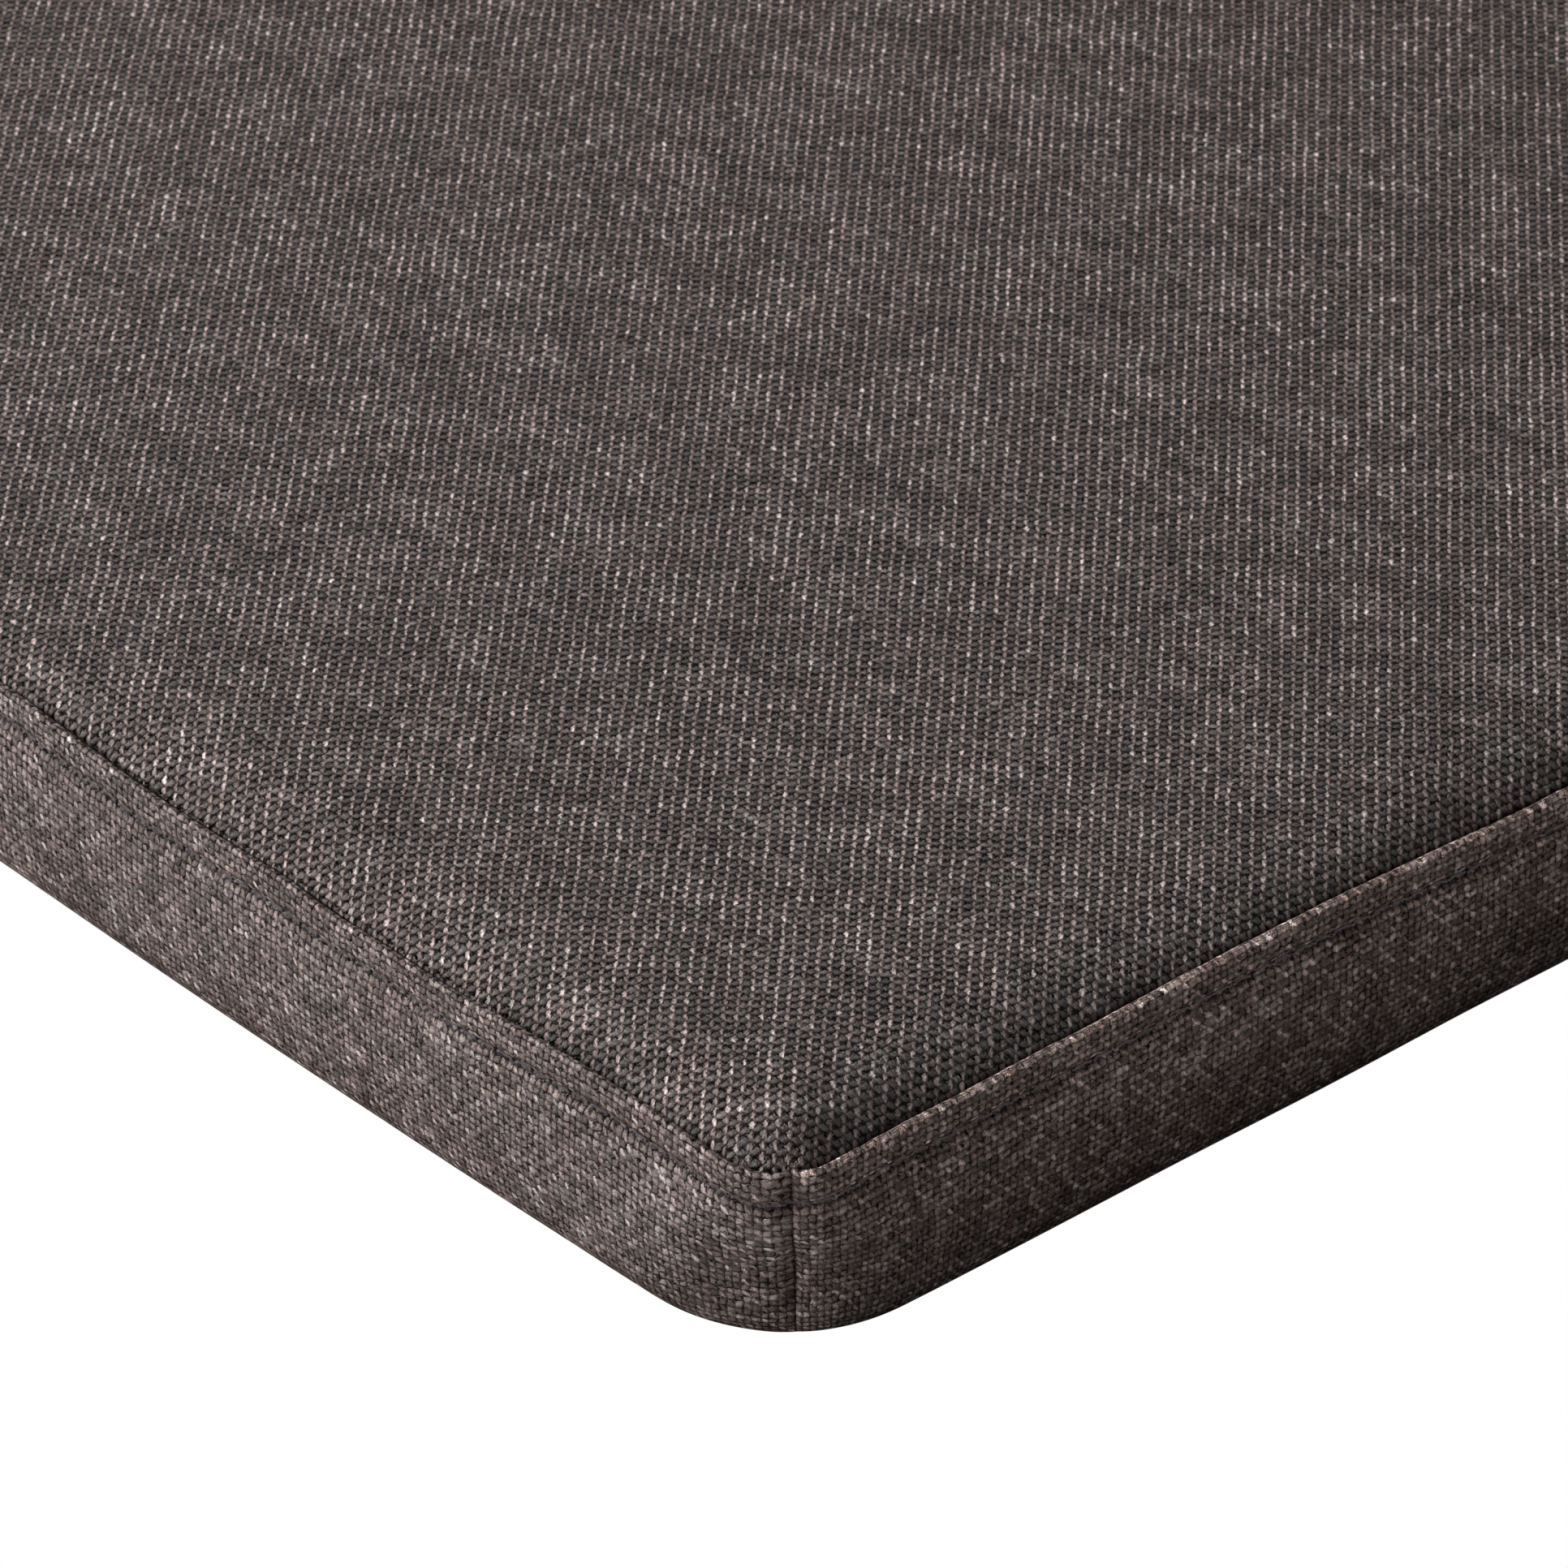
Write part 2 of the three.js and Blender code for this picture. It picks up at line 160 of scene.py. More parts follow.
def make_mesh(name, vertices, faces, material, cloth, replaces=None):
    """A smooth mesh object; cloth holds the coordinates its material reads at each vertex."""
    mesh = bpy.data.meshes.new(name)
    vertices = np.asarray(vertices, float) * MM
    mesh.from_pydata(vertices.tolist(), [], [tuple(int(i) for i in face) for face in faces])
    layer = mesh.attributes.new("cloth", "FLOAT_VECTOR", "POINT")
    layer.data.foreach_set("vector", np.asarray(cloth, np.float32).ravel())
    mesh.polygons.foreach_set("use_smooth", [True] * len(mesh.polygons))
    mesh.update()
    obj = add_object(name, mesh)
    mesh.materials.append(material)
    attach(obj, "pad")
    if replaces:
        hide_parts(replaces)


def grid_faces(rows, columns, flip=False, offset=0):
    r, c = np.meshgrid(np.arange(rows - 1), np.arange(columns - 1), indexing="ij")
    first = (r * columns + c).ravel() + offset
    quads = np.stack([first, first + 1, first + columns + 1, first + columns], 1)
    return quads[:, ::-1] if flip else quads


def grid_rim(rows, columns):
    """Indices round the border of a grid, starting along its first row."""
    index = np.arange(rows * columns).reshape(rows, columns)
    return np.concatenate([index[0, :-1], index[:-1, -1], index[-1, :0:-1], index[:0:-1, 0]])


def unit(vectors):
    return vectors / np.maximum(np.linalg.norm(vectors, axis=-1, keepdims=True), 1e-9)


def grid_normals(points):
    """Unit normals of a grid of points, smoothed twice over their neighbours."""
    n = unit(np.cross(np.gradient(points, axis=1), np.gradient(points, axis=0)))
    for _ in range(2):
        p = np.pad(n, ((1, 1), (1, 1), (0, 0)), mode="edge")
        n = (p[:-2, 1:-1] + p[2:, 1:-1] + p[1:-1, :-2] + p[1:-1, 2:] + 2 * p[1:-1, 1:-1]) / 6
    return unit(n)


def outward(points):
    """Outward unit normals of a wall grid, taken level."""
    normals = grid_normals(points)
    normals[..., 2] = 0
    return unit(normals)


def rim_faces(rim, count):
    """Quads that join the rim of a sheet to the same rim, count vertices on."""
    following = np.roll(rim, -1)
    return np.stack([following, rim, rim + count, following + count], 1)


def add_sheet(node_name, points, cloth, thickness, material, slot):
    """A closed sheet from a grid of outer points whose rows run downwards."""
    points, cloth = points[::-1], cloth[::-1]
    rows, columns, _ = points.shape
    inner = points - grid_normals(points) * thickness
    inner[..., 2] = np.maximum(inner[..., 2], 0.12)
    count = rows * columns
    faces = np.concatenate([
        grid_faces(rows, columns),
        grid_faces(rows, columns, True, count),
        rim_faces(grid_rim(rows, columns), count),
    ])
    vertices = np.concatenate([points.reshape(-1, 3), inner.reshape(-1, 3)])
    cloth = np.tile(cloth.reshape(-1, 3), (2, 1))
    make_mesh(node_name + "_cloth", vertices, faces, material, cloth, node_name)


TUBE_SIDES = 6


def add_tubes(name, paths, radius, material, replaces):
    """Closed round tubes along an array of paths, count x points x 3."""
    count, length, _ = paths.shape
    tangent = unit(np.gradient(paths, axis=1))
    steep = np.abs(tangent[..., 2:3]) > 0.9
    across = unit(np.cross(tangent, np.where(steep, np.array([1.0, 0, 0]), np.array([0, 0, 1.0]))))
    other = np.cross(tangent, across)
    angle = np.arange(TUBE_SIDES) / TUBE_SIDES * 2 * math.pi
    cos, sin = (f(angle)[None, None, :, None] for f in (np.cos, np.sin))
    ring = paths[:, :, None, :] + radius * (across[:, :, None, :] * cos + other[:, :, None, :] * sin)
    caps = paths[:, [0, -1], :]
    vertices = np.concatenate([ring.reshape(count, length * TUBE_SIDES, 3), caps], 1)

    i, j = np.meshgrid(np.arange(length - 1), np.arange(TUBE_SIDES), indexing="ij")
    a = (i * TUBE_SIDES + j).ravel()
    b = (i * TUBE_SIDES + (j + 1) % TUBE_SIDES).ravel()
    quads = np.stack([b, b + TUBE_SIDES, a + TUBE_SIDES, a], 1)
    s = np.arange(TUBE_SIDES)
    turned = (s + 1) % TUBE_SIDES
    tip = length * TUBE_SIDES
    last = tip - TUBE_SIDES
    start_cap = np.stack([np.full(TUBE_SIDES, tip), turned, s], 1)
    end_cap = np.stack([np.full(TUBE_SIDES, tip + 1), last + s, last + turned], 1)
    per_tube = tip + 2
    faces = []
    for k in range(count):
        for part in (quads, start_cap, end_cap):
            faces += (part + k * per_tube).tolist()

    # cloth coordinates: share of the length, angle round the tube, number of the tube
    cloth = np.zeros((count, per_tube, 3))
    cloth[..., 0] = np.append(np.repeat(np.arange(length), TUBE_SIDES) / (length - 1.0), [0, 1])
    cloth[..., 1] = np.append(np.tile(angle, length), [0, 0])
    cloth[..., 2] = np.arange(count)[:, None]
    make_mesh(name, vertices.reshape(-1, 3), faces, material, cloth.reshape(-1, 3), replaces)


# --------------------------------------------------------------------------
# paths round the pad
# --------------------------------------------------------------------------
# side: unit vector outwards, unit vector along; in order round the pad
SIDES = {
    "front": ((0, -1), (1, 0)),
    "right": ((1, 0), (0, 1)),
    "back": ((0, 1), (-1, 0)),
    "left": ((-1, 0), (0, -1)),
}
SEEDS = {"front": 3, "right": 41, "back": 77, "left": 113}
WALL_SHARE = 30.0       # end of each wall that shares the corner with its arc
GRID_SHARE = 44.0       # the same for the top panel and the layers inside
WALL_CORNER = 14.0      # corner radius that sets the length of a wall's path
SEAM_SHIFT = 2.0        # how far the front wall reaches round the front right corner


def side_point(side, u, inset, radius, share, u_max, shift=0.0):
    """x, y and outward direction of a side's path at an inset, with a corner radius.

    u is the cloth coordinate along the side; within share of the end it shares out what is left
    of the straight and the half corner. shift moves the side's end along the arc.
    """
    (out_x, out_y), (run_x, run_y) = SIDES[side]
    half, depth = (HALF_X, HALF_Y) if out_y != 0 else (HALF_Y, HALF_X)
    kept = half - share
    reach = np.abs(u)
    sign = np.sign(u)
    radius = np.maximum(radius, 1e-4)
    rest = (half - inset - radius) - kept
    length = np.clip((reach - kept) / (u_max - kept), 0, None)
    length = length * (rest + radius * math.pi / 4 + shift)
    angle = np.clip((length - rest) / radius, 0, math.pi / 4 + shift / radius)
    straight = np.where(reach <= kept, reach, kept + np.minimum(length, rest))
    arc = (half - inset - radius) + radius * np.sin(angle)
    along = sign * np.where(angle > 0, arc, straight)
    out = (depth - inset - radius) + radius * np.cos(angle)
    normal_along, normal_out = sign * np.sin(angle), np.cos(angle)
    return (
        run_x * along + out_x * out,
        run_y * along + out_y * out,
        run_x * normal_along + out_x * normal_out,
        run_y * normal_along + out_y * normal_out,
    )


def u_end(side, radius=WALL_CORNER):
    """Cloth coordinate at the end of a side, half way round the corner."""
    half = HALF_X if side in ("front", "back") else HALF_Y
    return half - radius + radius * math.pi / 4


def seam_shift(side, u):
    """The upright seam at the front right corner is off the bisector."""
    if side == "front":
        return np.where(u > 0, SEAM_SHIFT, 0.0)
    if side == "right":
        return np.where(u < 0, -SEAM_SHIFT, 0.0)
    return 0.0


def around(side, u):
    """A running coordinate round the pad, for waves that carry on past the corners."""
    front, right = u_end("front"), u_end("right")
    start = {"front": 0.0, "right": 2 * front, "back": 2 * front + 2 * right,
             "left": 4 * front + 2 * right}[side]
    return start + u + (front if side in ("front", "back") else right)


# Waves near the front right corner, listed as (distance from the corner, offset).
# RIDGE is the rise of the top seam, LINE how far the wall stands in from its nominal line.
RIDGE = {
    "front": [
        (0, -0.35), (12, -0.1), (25, 0.3), (38, 0.1), (50, -0.45), (62, -0.42), (72, -0.45),
        (82, 0.1), (90, -0.1), (104, -0.35), (119, 0.35), (134, 1.05), (150, 0.7), (170, -0.1),
        (190, 0.0)],
    "right": [
        (0, -0.35), (12, -0.55), (23, -0.5), (36, -0.1), (50, 0.05), (67, 0.42), (85, 0.5),
        (98, 0.0), (107, -0.45), (120, -0.6), (135, 0.0), (150, 0.3), (170, 0.0), (190, 0.0)],
}
LINE = {
    "front": [
        (0, 0.0), (10, 0.1), (19, 0.2), (27, 0.05), (35, -0.05), (44, -0.2), (60, -0.4),
        (87, -0.38), (105, -0.22), (124, 0.05), (143, 0.4), (165, 0.5), (190, 0.0)],
    "right": [
        (0, 0.0), (10, 0.3), (17, 0.55), (24, 0.45), (38, 0.3), (61, 0.3), (84, 0.0), (108, 0.1),
        (124, -0.1), (150, 0.0), (190, 0.0)],
}


def near_corner(side, u, tables):
    """The listed course near the front right corner, and how much of it counts."""
    if side not in tables:
        return 0.0, 0.0
    distance = (u_end(side) - u) if side == "front" else (u_end(side) + u)
    distance = np.clip(distance, 0, 190.0)
    value = spline(tables[side], distance.ravel())[:, 0].reshape(distance.shape)
    return value, smoothstep(188, 150, distance)


def ridge_wave(side, u):
    """Slow up and down wander of the top seam."""
    s = around(side, u)
    from_end = u_end(side) - np.abs(u)
    base = 0.42 * fbm(s / 62.0, 0, 5, 2) + 0.16 * noise(s / 21.0, 3.3, 8)
    base = base * smoothstep(0, 14, from_end) - 0.35 * smoothstep(14, 0, from_end)
    value, share = near_corner(side, u, RIDGE)
    return base * (1 - share) + value * share


def line_wave(side, u):
    """Slow in and out wander of a wall, positive outwards."""
    s = around(side, u)
    from_end = u_end(side) - np.abs(u)
    base = 0.30 * fbm(s / 55.0, 7.7, 21, 2) * smoothstep(0, 14, from_end)
    base = base - 0.25 * smoothstep(30, 0, from_end)
    value, share = near_corner(side, u, LINE)
    return base * (1 - share) - value * share


# --------------------------------------------------------------------------
# side walls
# --------------------------------------------------------------------------
ROLL_V, ROLL_INSET, ROLL_Z = 22.6, 0.8, 8.0     # where the wall starts to roll under
ROLL = 7.7                                      # radius of that roll
V_FLAT = ROLL_V + ROLL * math.pi / 2
V_END = V_FLAT + 3.7
# profile of a wall: v (down the cloth from the ridge), inset, z
WALL = [
    (-3.2, 2.2, 27.4), (-2.4, 2.1, 28.2), (-1.7, 1.9, 28.9), (-1.0, 1.5, 29.42),
    (-0.35, 1.0, 29.8), (0.3, 0.5, 29.82), (0.9, 0.2, 29.4), (1.7, 0.04, 28.7), (2.7, 0.0, 27.8),
    (3.7, 0.06, 26.8), (4.4, 0.26, 26.15), (4.85, 0.6, 25.75), (5.2, 1.02, 25.42),
    (5.5, 1.15, 25.1), (5.85, 0.98, 24.72), (6.4, 0.66, 24.2), (7.4, 0.38, 23.25),
    (9.5, 0.18, 21.1), (13.0, 0.06, 17.6), (17.0, 0.14, 13.6), (20.0, 0.36, 10.6),
    (ROLL_V, ROLL_INSET, ROLL_Z),
]
for turn in (k / 8 * math.pi / 2 for k in range(1, 9)):
    WALL.append((ROLL_V + ROLL * turn, ROLL_INSET + ROLL * (1 - math.cos(turn)),
                 ROLL_Z - ROLL * math.sin(turn)))
WALL += [(V_FLAT + 1.6, 10.1, 0.3), (V_FLAT + 2.5, 10.95, 0.45), (V_FLAT + 3.1, 11.35, 0.9),
         (V_END, 11.5, 1.5)]
WALL_ROWS = np.concatenate([
    np.linspace(-3.2, -0.4, 8), np.linspace(0.0, 4.2, 13), np.linspace(4.45, 6.3, 9),
    np.linspace(6.6, 9, 6), np.linspace(9.8, 22.0, 14), np.linspace(22.8, V_FLAT, 14),
    np.linspace(V_FLAT + 0.6, V_END, 6),
])
# last columns of a wall, by distance before the corner seam; the negative ones turn in past it
END_COLUMNS = np.append(np.linspace(1.7, 0.0, 8), [-0.4, -1.0, -1.8])

STITCH = 3.1            # pitch of the stitches
TOPSTITCH_V = 5.5
GROOVE_V = 5.45
TOP_CORNER = 9.5        # corner radius at the top seam


def corner_radius(inset, z, v):
    radius = TOP_CORNER + 13.5 * smoothstep(27, 10, z)
    radius = np.where(v > ROLL_V, 23.0 - (inset - ROLL_INSET), radius)
    radius = np.where(v < 2.7, TOP_CORNER - np.maximum(inset, 0), radius)
    return np.maximum(radius, 1.2)


def wall_points(side, u, v, end_plump=0.4):
    """Outer surface of a side wall on the grid v x u, and its cloth coordinates.

    end_plump is the fullness beside the corner seams, used on the front and back walls.
    """
    profile = spline(WALL, v)
    inset, z = profile[:, :1], profile[:, 1:2]
    u, v = u[None, :], v[:, None]
    end = u_end(side)
    x, y, out_x, out_y = side_point(
        side, u, inset, corner_radius(inset, z, v), WALL_SHARE, end, seam_shift(side, u))
    seed = SEEDS[side]
    from_end = end - np.abs(u)
    before_end = np.clip(from_end, 0, None)
    free = smoothstep(0.0, 5.0, from_end)
    # slow waves of the seam, fading down the wall
    rise = ridge_wave(side, u) * smoothstep(24, 6, v)
    push = line_wave(side, u) * smoothstep(36, 26, v)
    if side == "back":
        # the zip holds the strips either side of it straight
        rise = rise * smoothstep(9.0, 5.5, v)
        push = push * (1 - 0.7 * smoothstep(6, 9, v) * smoothstep(26, 19, v))
    # the wall isn't quite flat
    uneven = fbm(u / 30.0, v / 14.0, seed + 1, 3) * smoothstep(0, 8, v) * smoothstep(34, 24, v)
    push = push + 0.16 * free * uneven
    # puckers that run away from the topstitch, both ways
    pucker = noise(u / 3.6 + 0.5 * noise(u / 9.0, 1.0, seed + 4), v / 16.0, seed + 2)
    pucker = pucker + 0.6 * noise(u / 6.5, v / 20.0, seed + 3)
    push = push + 0.17 * free * pucker * (bell(v, 7.3, 2.4) + 0.6 * bell(v, 3.2, 1.5))
    # the ridge itself is a fold over thread: slightly lumpy
    lump = noise(u / 2.1, 0, seed + 7) + 0.5 * noise(u / 1.05, 0, seed + 8)
    rise = rise + 0.09 * free * lump * bell(v, 0.1, 1.3)
    # the groove's depth varies, and each stitch pulls it in at its ends
    hole = (0.5 + 0.5 * np.cos(2 * math.pi * around(side, u) / STITCH)) ** 3
    push = push - 0.21 * free * noise(u / 11.0, 5.5, seed + 9) * bell(v, GROOVE_V, 0.8)
    push = push - 0.20 * hole * bell(v, GROOVE_V, 0.55)
    # the corner seam's crease, with the cloth plump beside it; past the seam the cloth turns in
    down = 1 - 0.85 * smoothstep(19, 30, v)
    crease = down * (1 + 0.5 * noise(v / 5.0, 2.0, 71))
    push = push - (0.42 * bell(before_end, 0, 0.7) + 0.34 * bell(before_end, 0, 2.0)) * crease
    push = push - np.clip(-from_end, 0, None)
    plump = end_plump if side in ("front", "back") else 0.12
    push = push + plump * bell(before_end, 3.4, 2.2) * smoothstep(0.8, 3, v) * down
    dip = 1.4 * smoothstep(0.1, -1.3, from_end) + 0.12 * smoothstep(2.6, 0.0, from_end)
    rise = rise - dip * smoothstep(4.2, 1.2, v)
    # small gap between the two walls of a corner, along the tangent (-out_y, out_x)
    gap = -0.03 * np.sign(u) * smoothstep(0.5, 0, from_end) * down
    points = np.broadcast_arrays(
        x + out_x * push - out_y * gap, y + out_y * push + out_x * gap, z + rise)
    cloth = np.broadcast_arrays(u, 0 - v, float(seed))
    return np.stack(points, -1), np.stack(cloth, -1)


def wall_columns(side):
    """Columns 1 mm apart, closer towards the corners."""
    end = u_end(side)
    inner = end - 16
    middle = np.linspace(-inner, inner, int(round(2 * inner)) + 1)
    ends = np.concatenate([np.linspace(16, 5, 15)[1:], np.linspace(4.5, 2.0, 6), END_COLUMNS])
    return np.concatenate([-(end - ends[::-1]), middle, end - ends])


# --------------------------------------------------------------------------
# concentric rings round an inner grid: the top panel and the layers inside
# --------------------------------------------------------------------------


def ring_plan(radius, band, step):
    """Columns (side, u, end) of the four sides, and the grid a band in from the outline."""
    columns = []
    for side in SIDES:
        end = u_end(side, radius)
        columns.append((side, np.linspace(-end, end, int(round(2 * end / step)) + 1), end))
    # inner grid lines are where the columns meet the inner rectangle
    lines = [side_point(side, u, band, 0.0, GRID_SHARE, end)[axis]
             for axis, (side, u, end) in enumerate(columns[:2])]
    return columns, lines[0], lines[1]


def ring(columns, inset, radius):
    """x, y and outward direction round all four sides, with shared corners."""
    parts = [side_point(side, u[:-1], inset, radius - inset, GRID_SHARE, end)
             for side, u, end in columns]
    return [np.concatenate(part) for part in zip(*parts)]


# top panel: distance in along the cloth, inset from the outline, z
TOP_EDGE = [
    (0.0, 2.75, 27.3), (0.8, 2.6, 28.0), (1.3, 2.35, 28.5), (1.8, 2.15, 28.95), (2.3, 2.4, 29.3),
    (3.2, 3.2, 29.68), (4.6, 4.45, 30.26), (6.3, 6.0, 30.90), (8.6, 8.2, 31.60),
    (11.6, 11.1, 32.22), (15.5, 15.0, 32.62), (20.6, 20.0, 32.80),
]
TOP_RINGS = np.append(
    np.linspace(0, 2.8, 9), [3.4, 4.1, 4.9, 5.8, 6.8, 8.0, 9.4, 11.0, 12.8, 14.9, 17.6])
TOP_BAND = 20.0
CROWN_STEP = 10.0
CROWN_FRAMES = 30


def simulate_crown():
    """The top panel's rise from a cloth simulation: a sheet pinned at its rim, pushed up by
    pressure.
    """
    half_x, half_y = HALF_X - TOP_BAND, HALF_Y - TOP_BAND
    nx = int(round(2 * half_x / CROWN_STEP)) + 1
    ny = int(round(2 * half_y / CROWN_STEP)) + 1
    xs, ys = np.linspace(-half_x, half_x, nx), np.linspace(-half_y, half_y, ny)
    grid_x, grid_y = np.meshgrid(xs, ys)
    vertices = np.stack([grid_x, grid_y, 0 * grid_x], -1).reshape(-1, 3) * MM
    mesh = bpy.data.meshes.new("crown_sheet")
    mesh.from_pydata(vertices.tolist(), [], grid_faces(ny, nx).tolist())
    sheet = add_object("crown_sheet", mesh)
    rim = sorted(grid_rim(ny, nx).tolist())
    sheet.vertex_groups.new(name="pin").add(rim, 1.0, "REPLACE")
    modifier = sheet.modifiers.new("cloth", "CLOTH")
    cloth = modifier.settings
    cloth.quality = 6
    cloth.mass = 0.35
    cloth.tension_stiffness = cloth.compression_stiffness = 22
    cloth.shear_stiffness = 10
    cloth.bending_stiffness = 6.0
    cloth.tension_damping = cloth.compression_damping = cloth.shear_damping = 12
    cloth.air_damping = 6.0
    cloth.vertex_group_mass = "pin"
    cloth.pin_stiffness = 1.0
    cloth.use_pressure = True
    cloth.uniform_pressure_force = 0.06
    cloth.effector_weights.gravity = 0.0
    modifier.point_cache.frame_start = 1
    modifier.point_cache.frame_end = CROWN_FRAMES
    scene = bpy.context.scene
    for frame in range(1, CROWN_FRAMES + 1):
        scene.frame_set(frame)
    settled = sheet.evaluated_get(bpy.context.evaluated_depsgraph_get())
    result = settled.to_mesh()
    flat = np.empty(len(result.vertices) * 3)
    result.vertices.foreach_get("co", flat)
    settled.to_mesh_clear()
    bpy.data.objects.remove(sheet, do_unlink=True)
    bpy.data.meshes.remove(mesh)
    scene.frame_set(1)
    return xs, ys, flat.reshape(ny, nx, 3)[..., 2] / MM


def crown_grid(x_lines, y_lines):
    """Rise on the top panel's inner grid, from the cloth simulation, smoothed with its rim held."""
    xs, ys, z = simulate_crown()
    by_row = np.array([np.interp(x_lines, xs, row) for row in z])
    rise = np.array([np.interp(y_lines, ys, column) for column in by_row.T]).T
    rim = rise.copy()
    rows, columns = rise.shape
    for _ in range(3):
        p = np.pad(rise, 2, mode="edge")
        rise = sum(p[i:i + rows, j:j + columns] for i in range(5) for j in range(5)) / 25.0
        rise[[0, -1], :] = rim[[0, -1], :]
        rise[:, [0, -1]] = rim[:, [0, -1]]
    return rise


def build_top_panel(material):
    profile = spline(TOP_EDGE, np.append(TOP_RINGS, 20.6))
    columns, x_lines, y_lines = ring_plan(TOP_CORNER, TOP_BAND, 2.0)
    nx, ny = len(x_lines), len(y_lines)
    grid_x, grid_y = np.meshgrid(x_lines, y_lines)
    grid_z = profile[-1, 1] + crown_grid(x_lines, y_lines)
    vertices = [np.stack([grid_x, grid_y, grid_z], -1).reshape(-1, 3)]
    faces = [grid_faces(ny, nx)]
    # the waves of the walls, carried onto the panel's columns
    courses = [(side, u[:-1] / end * u_end(side)) for side, u, end in columns]
    running, ridge, line = (np.concatenate([wave(side, u) for side, u in courses])
                            for wave in (around, ridge_wave, line_wave))
    from_corner = np.concatenate([end - np.abs(u[:-1]) for _, u, end in columns])
    previous = grid_rim(ny, nx)
    count = len(previous)
    base = nx * ny
    # rings from the inside out
    for distance, (inset, height) in reversed(list(zip(TOP_RINGS, profile[:-1]))):
        x, y, out_x, out_y = ring(columns, inset, TOP_CORNER)
        near = smoothstep(17, 1, distance)
        ripple = noise(running / 5.2, 0.3, 61) + 0.5 * noise(running / 2.6, 0.3, 62)
        z = height + ridge * near + 0.14 * ripple * bell(distance, 3.2, 2.6)
        # the seam pulls the corner down
        z = z - 0.25 * bell(from_corner, 0, 5.0) * smoothstep(8, 1, distance)
        vertices.append(np.stack([x + out_x * line * near, y + out_y * line * near, z], -1))
        current = base + np.arange(count)
        faces.append(np.stack(
            [current, np.roll(current, -1), np.roll(previous, -1), previous], 1))
        base += count
        previous = current
    vertices, faces = np.concatenate(vertices), np.concatenate(faces)
    x, y = vertices[:, 0], vertices[:, 1]
    cloth = np.stack([x, y, 0 * x + 7], -1)
    inside = np.minimum(HALF_X - np.abs(x), HALF_Y - np.abs(y))
    vertices[:, 2] += 0.16 * fbm(x / 70.0, y / 52.0, 31, 3) * smoothstep(0, 40, inside)
    # thickness, along normals summed from the faces
    a, b, c, d = (vertices[faces[:, k]] for k in range(4))
    face_normals = np.cross(c - a, d - b)
    normals = np.zeros_like(vertices)
    for k in range(4):
        np.add.at(normals, faces[:, k], face_normals)
    inner = vertices - unit(normals) * 0.9
    faces = np.concatenate([faces, faces[:, ::-1] + base, rim_faces(previous, base)])
    make_mesh("top_panel_cloth", np.concatenate([vertices, inner]), faces, material,
              np.concatenate([cloth, cloth]), "top_panel")


def ring_body(rows, corner, band, step):
    """A closed body: a lower grid, rings through the (inset, z) rows, and an upper grid."""
    columns, x_lines, y_lines = ring_plan(corner, band, step)
    nx, ny = len(x_lines), len(y_lines)
    grid_x, grid_y = np.meshgrid(x_lines, y_lines)
    rim = grid_rim(ny, nx)

    def level_grid(z):
        return np.stack([grid_x, grid_y, 0 * grid_x + z], -1).reshape(-1, 3)

    def join(current, previous):
        return np.stack([np.roll(current, -1), current, previous, np.roll(previous, -1)], 1)

    vertices = [level_grid(rows[0][1])]
    faces = [grid_faces(ny, nx, True)]
    base, previous = nx * ny, rim
    for inset, z in rows[1:]:
        x, y, _, _ = ring(columns, inset, corner)
        vertices.append(np.stack([x, y, 0 * x + z], -1))
        current = base + np.arange(len(rim))
        faces.append(join(current, previous))
        base += len(rim)
        previous = current
    vertices.append(level_grid(rows[-1][1]))
    faces += [grid_faces(ny, nx) + base, join(rim + base, previous)]
    return np.concatenate(vertices), np.concatenate(faces)


# --------------------------------------------------------------------------
# shader helpers: arithmetic on sockets
# --------------------------------------------------------------------------


def feed(shader_node, inputs):
    """Sets a node's inputs: an Expr is linked, anything else becomes the value."""
    for key, value in inputs.items():
        socket = shader_node.inputs[key]
        if isinstance(value, Expr):
            value.tree.links.new(value.socket, socket)
        else:
            socket.default_value = value


def node(tree, kind, inputs, output=0, **settings):
    """Adds a shader node and returns one of its outputs as an Expr."""
    made = tree.nodes.new("ShaderNode" + kind)
    for key, value in settings.items():
        setattr(made, key, value)
    feed(made, inputs)
    return Expr(tree, made.outputs[output])


class Expr:
    """A node output; arithmetic on it adds math nodes."""

    def __init__(self, tree, socket):
        self.tree = tree
        self.socket = socket

    def apply(self, operation, *others):
        inputs = dict(enumerate((self,) + others))
        return node(self.tree, "Math", inputs, operation=operation)

    def __rsub__(self, other):
        return (self * -1.0) + other

    def __neg__(self):
        return self * -1.0

    def step(self, low, high, start=0.0, end=1.0):
        """Smooth step from start, where self is low, to end, where it is high."""
        inputs = dict(enumerate((self, low, high, start, end)))
        return node(self.tree, "MapRange", inputs, interpolation_type="SMOOTHSTEP")

    def mix(self, a, b):
        """a where self is 0, b where self is 1."""
        return node(self.tree, "Mix", {0: self, 2: a, 3: b}, data_type="FLOAT")

    def mix_colour(self, a, b):
        """The same for colours."""
        return node(self.tree, "Mix", {0: self, 6: rgba(a), 7: rgba(b)}, 2, data_type="RGBA")

    def tinted(self, colour):
        inputs = {0: 1.0, 6: self, 7: rgba(colour)}
        return node(self.tree, "Mix", inputs, 2, data_type="RGBA", blend_type="MULTIPLY")

    def scaled(self, factor):
        return node(self.tree, "VectorMath", {0: self, "Scale": factor}, operation="SCALE")

    def ramp(self, stops):
        """Colour ramp through (position, colour) stops."""
        made = self.tree.nodes.new("ShaderNodeValToRGB")
        feed(made, {0: self})
        elements = made.color_ramp.elements
        while len(elements) < len(stops):
            elements.new(0.5)
        for element, (place, colour) in zip(elements, stops):
            element.position = place
            element.color = (*colour, 1.0)
        return Expr(self.tree, made.outputs[0])


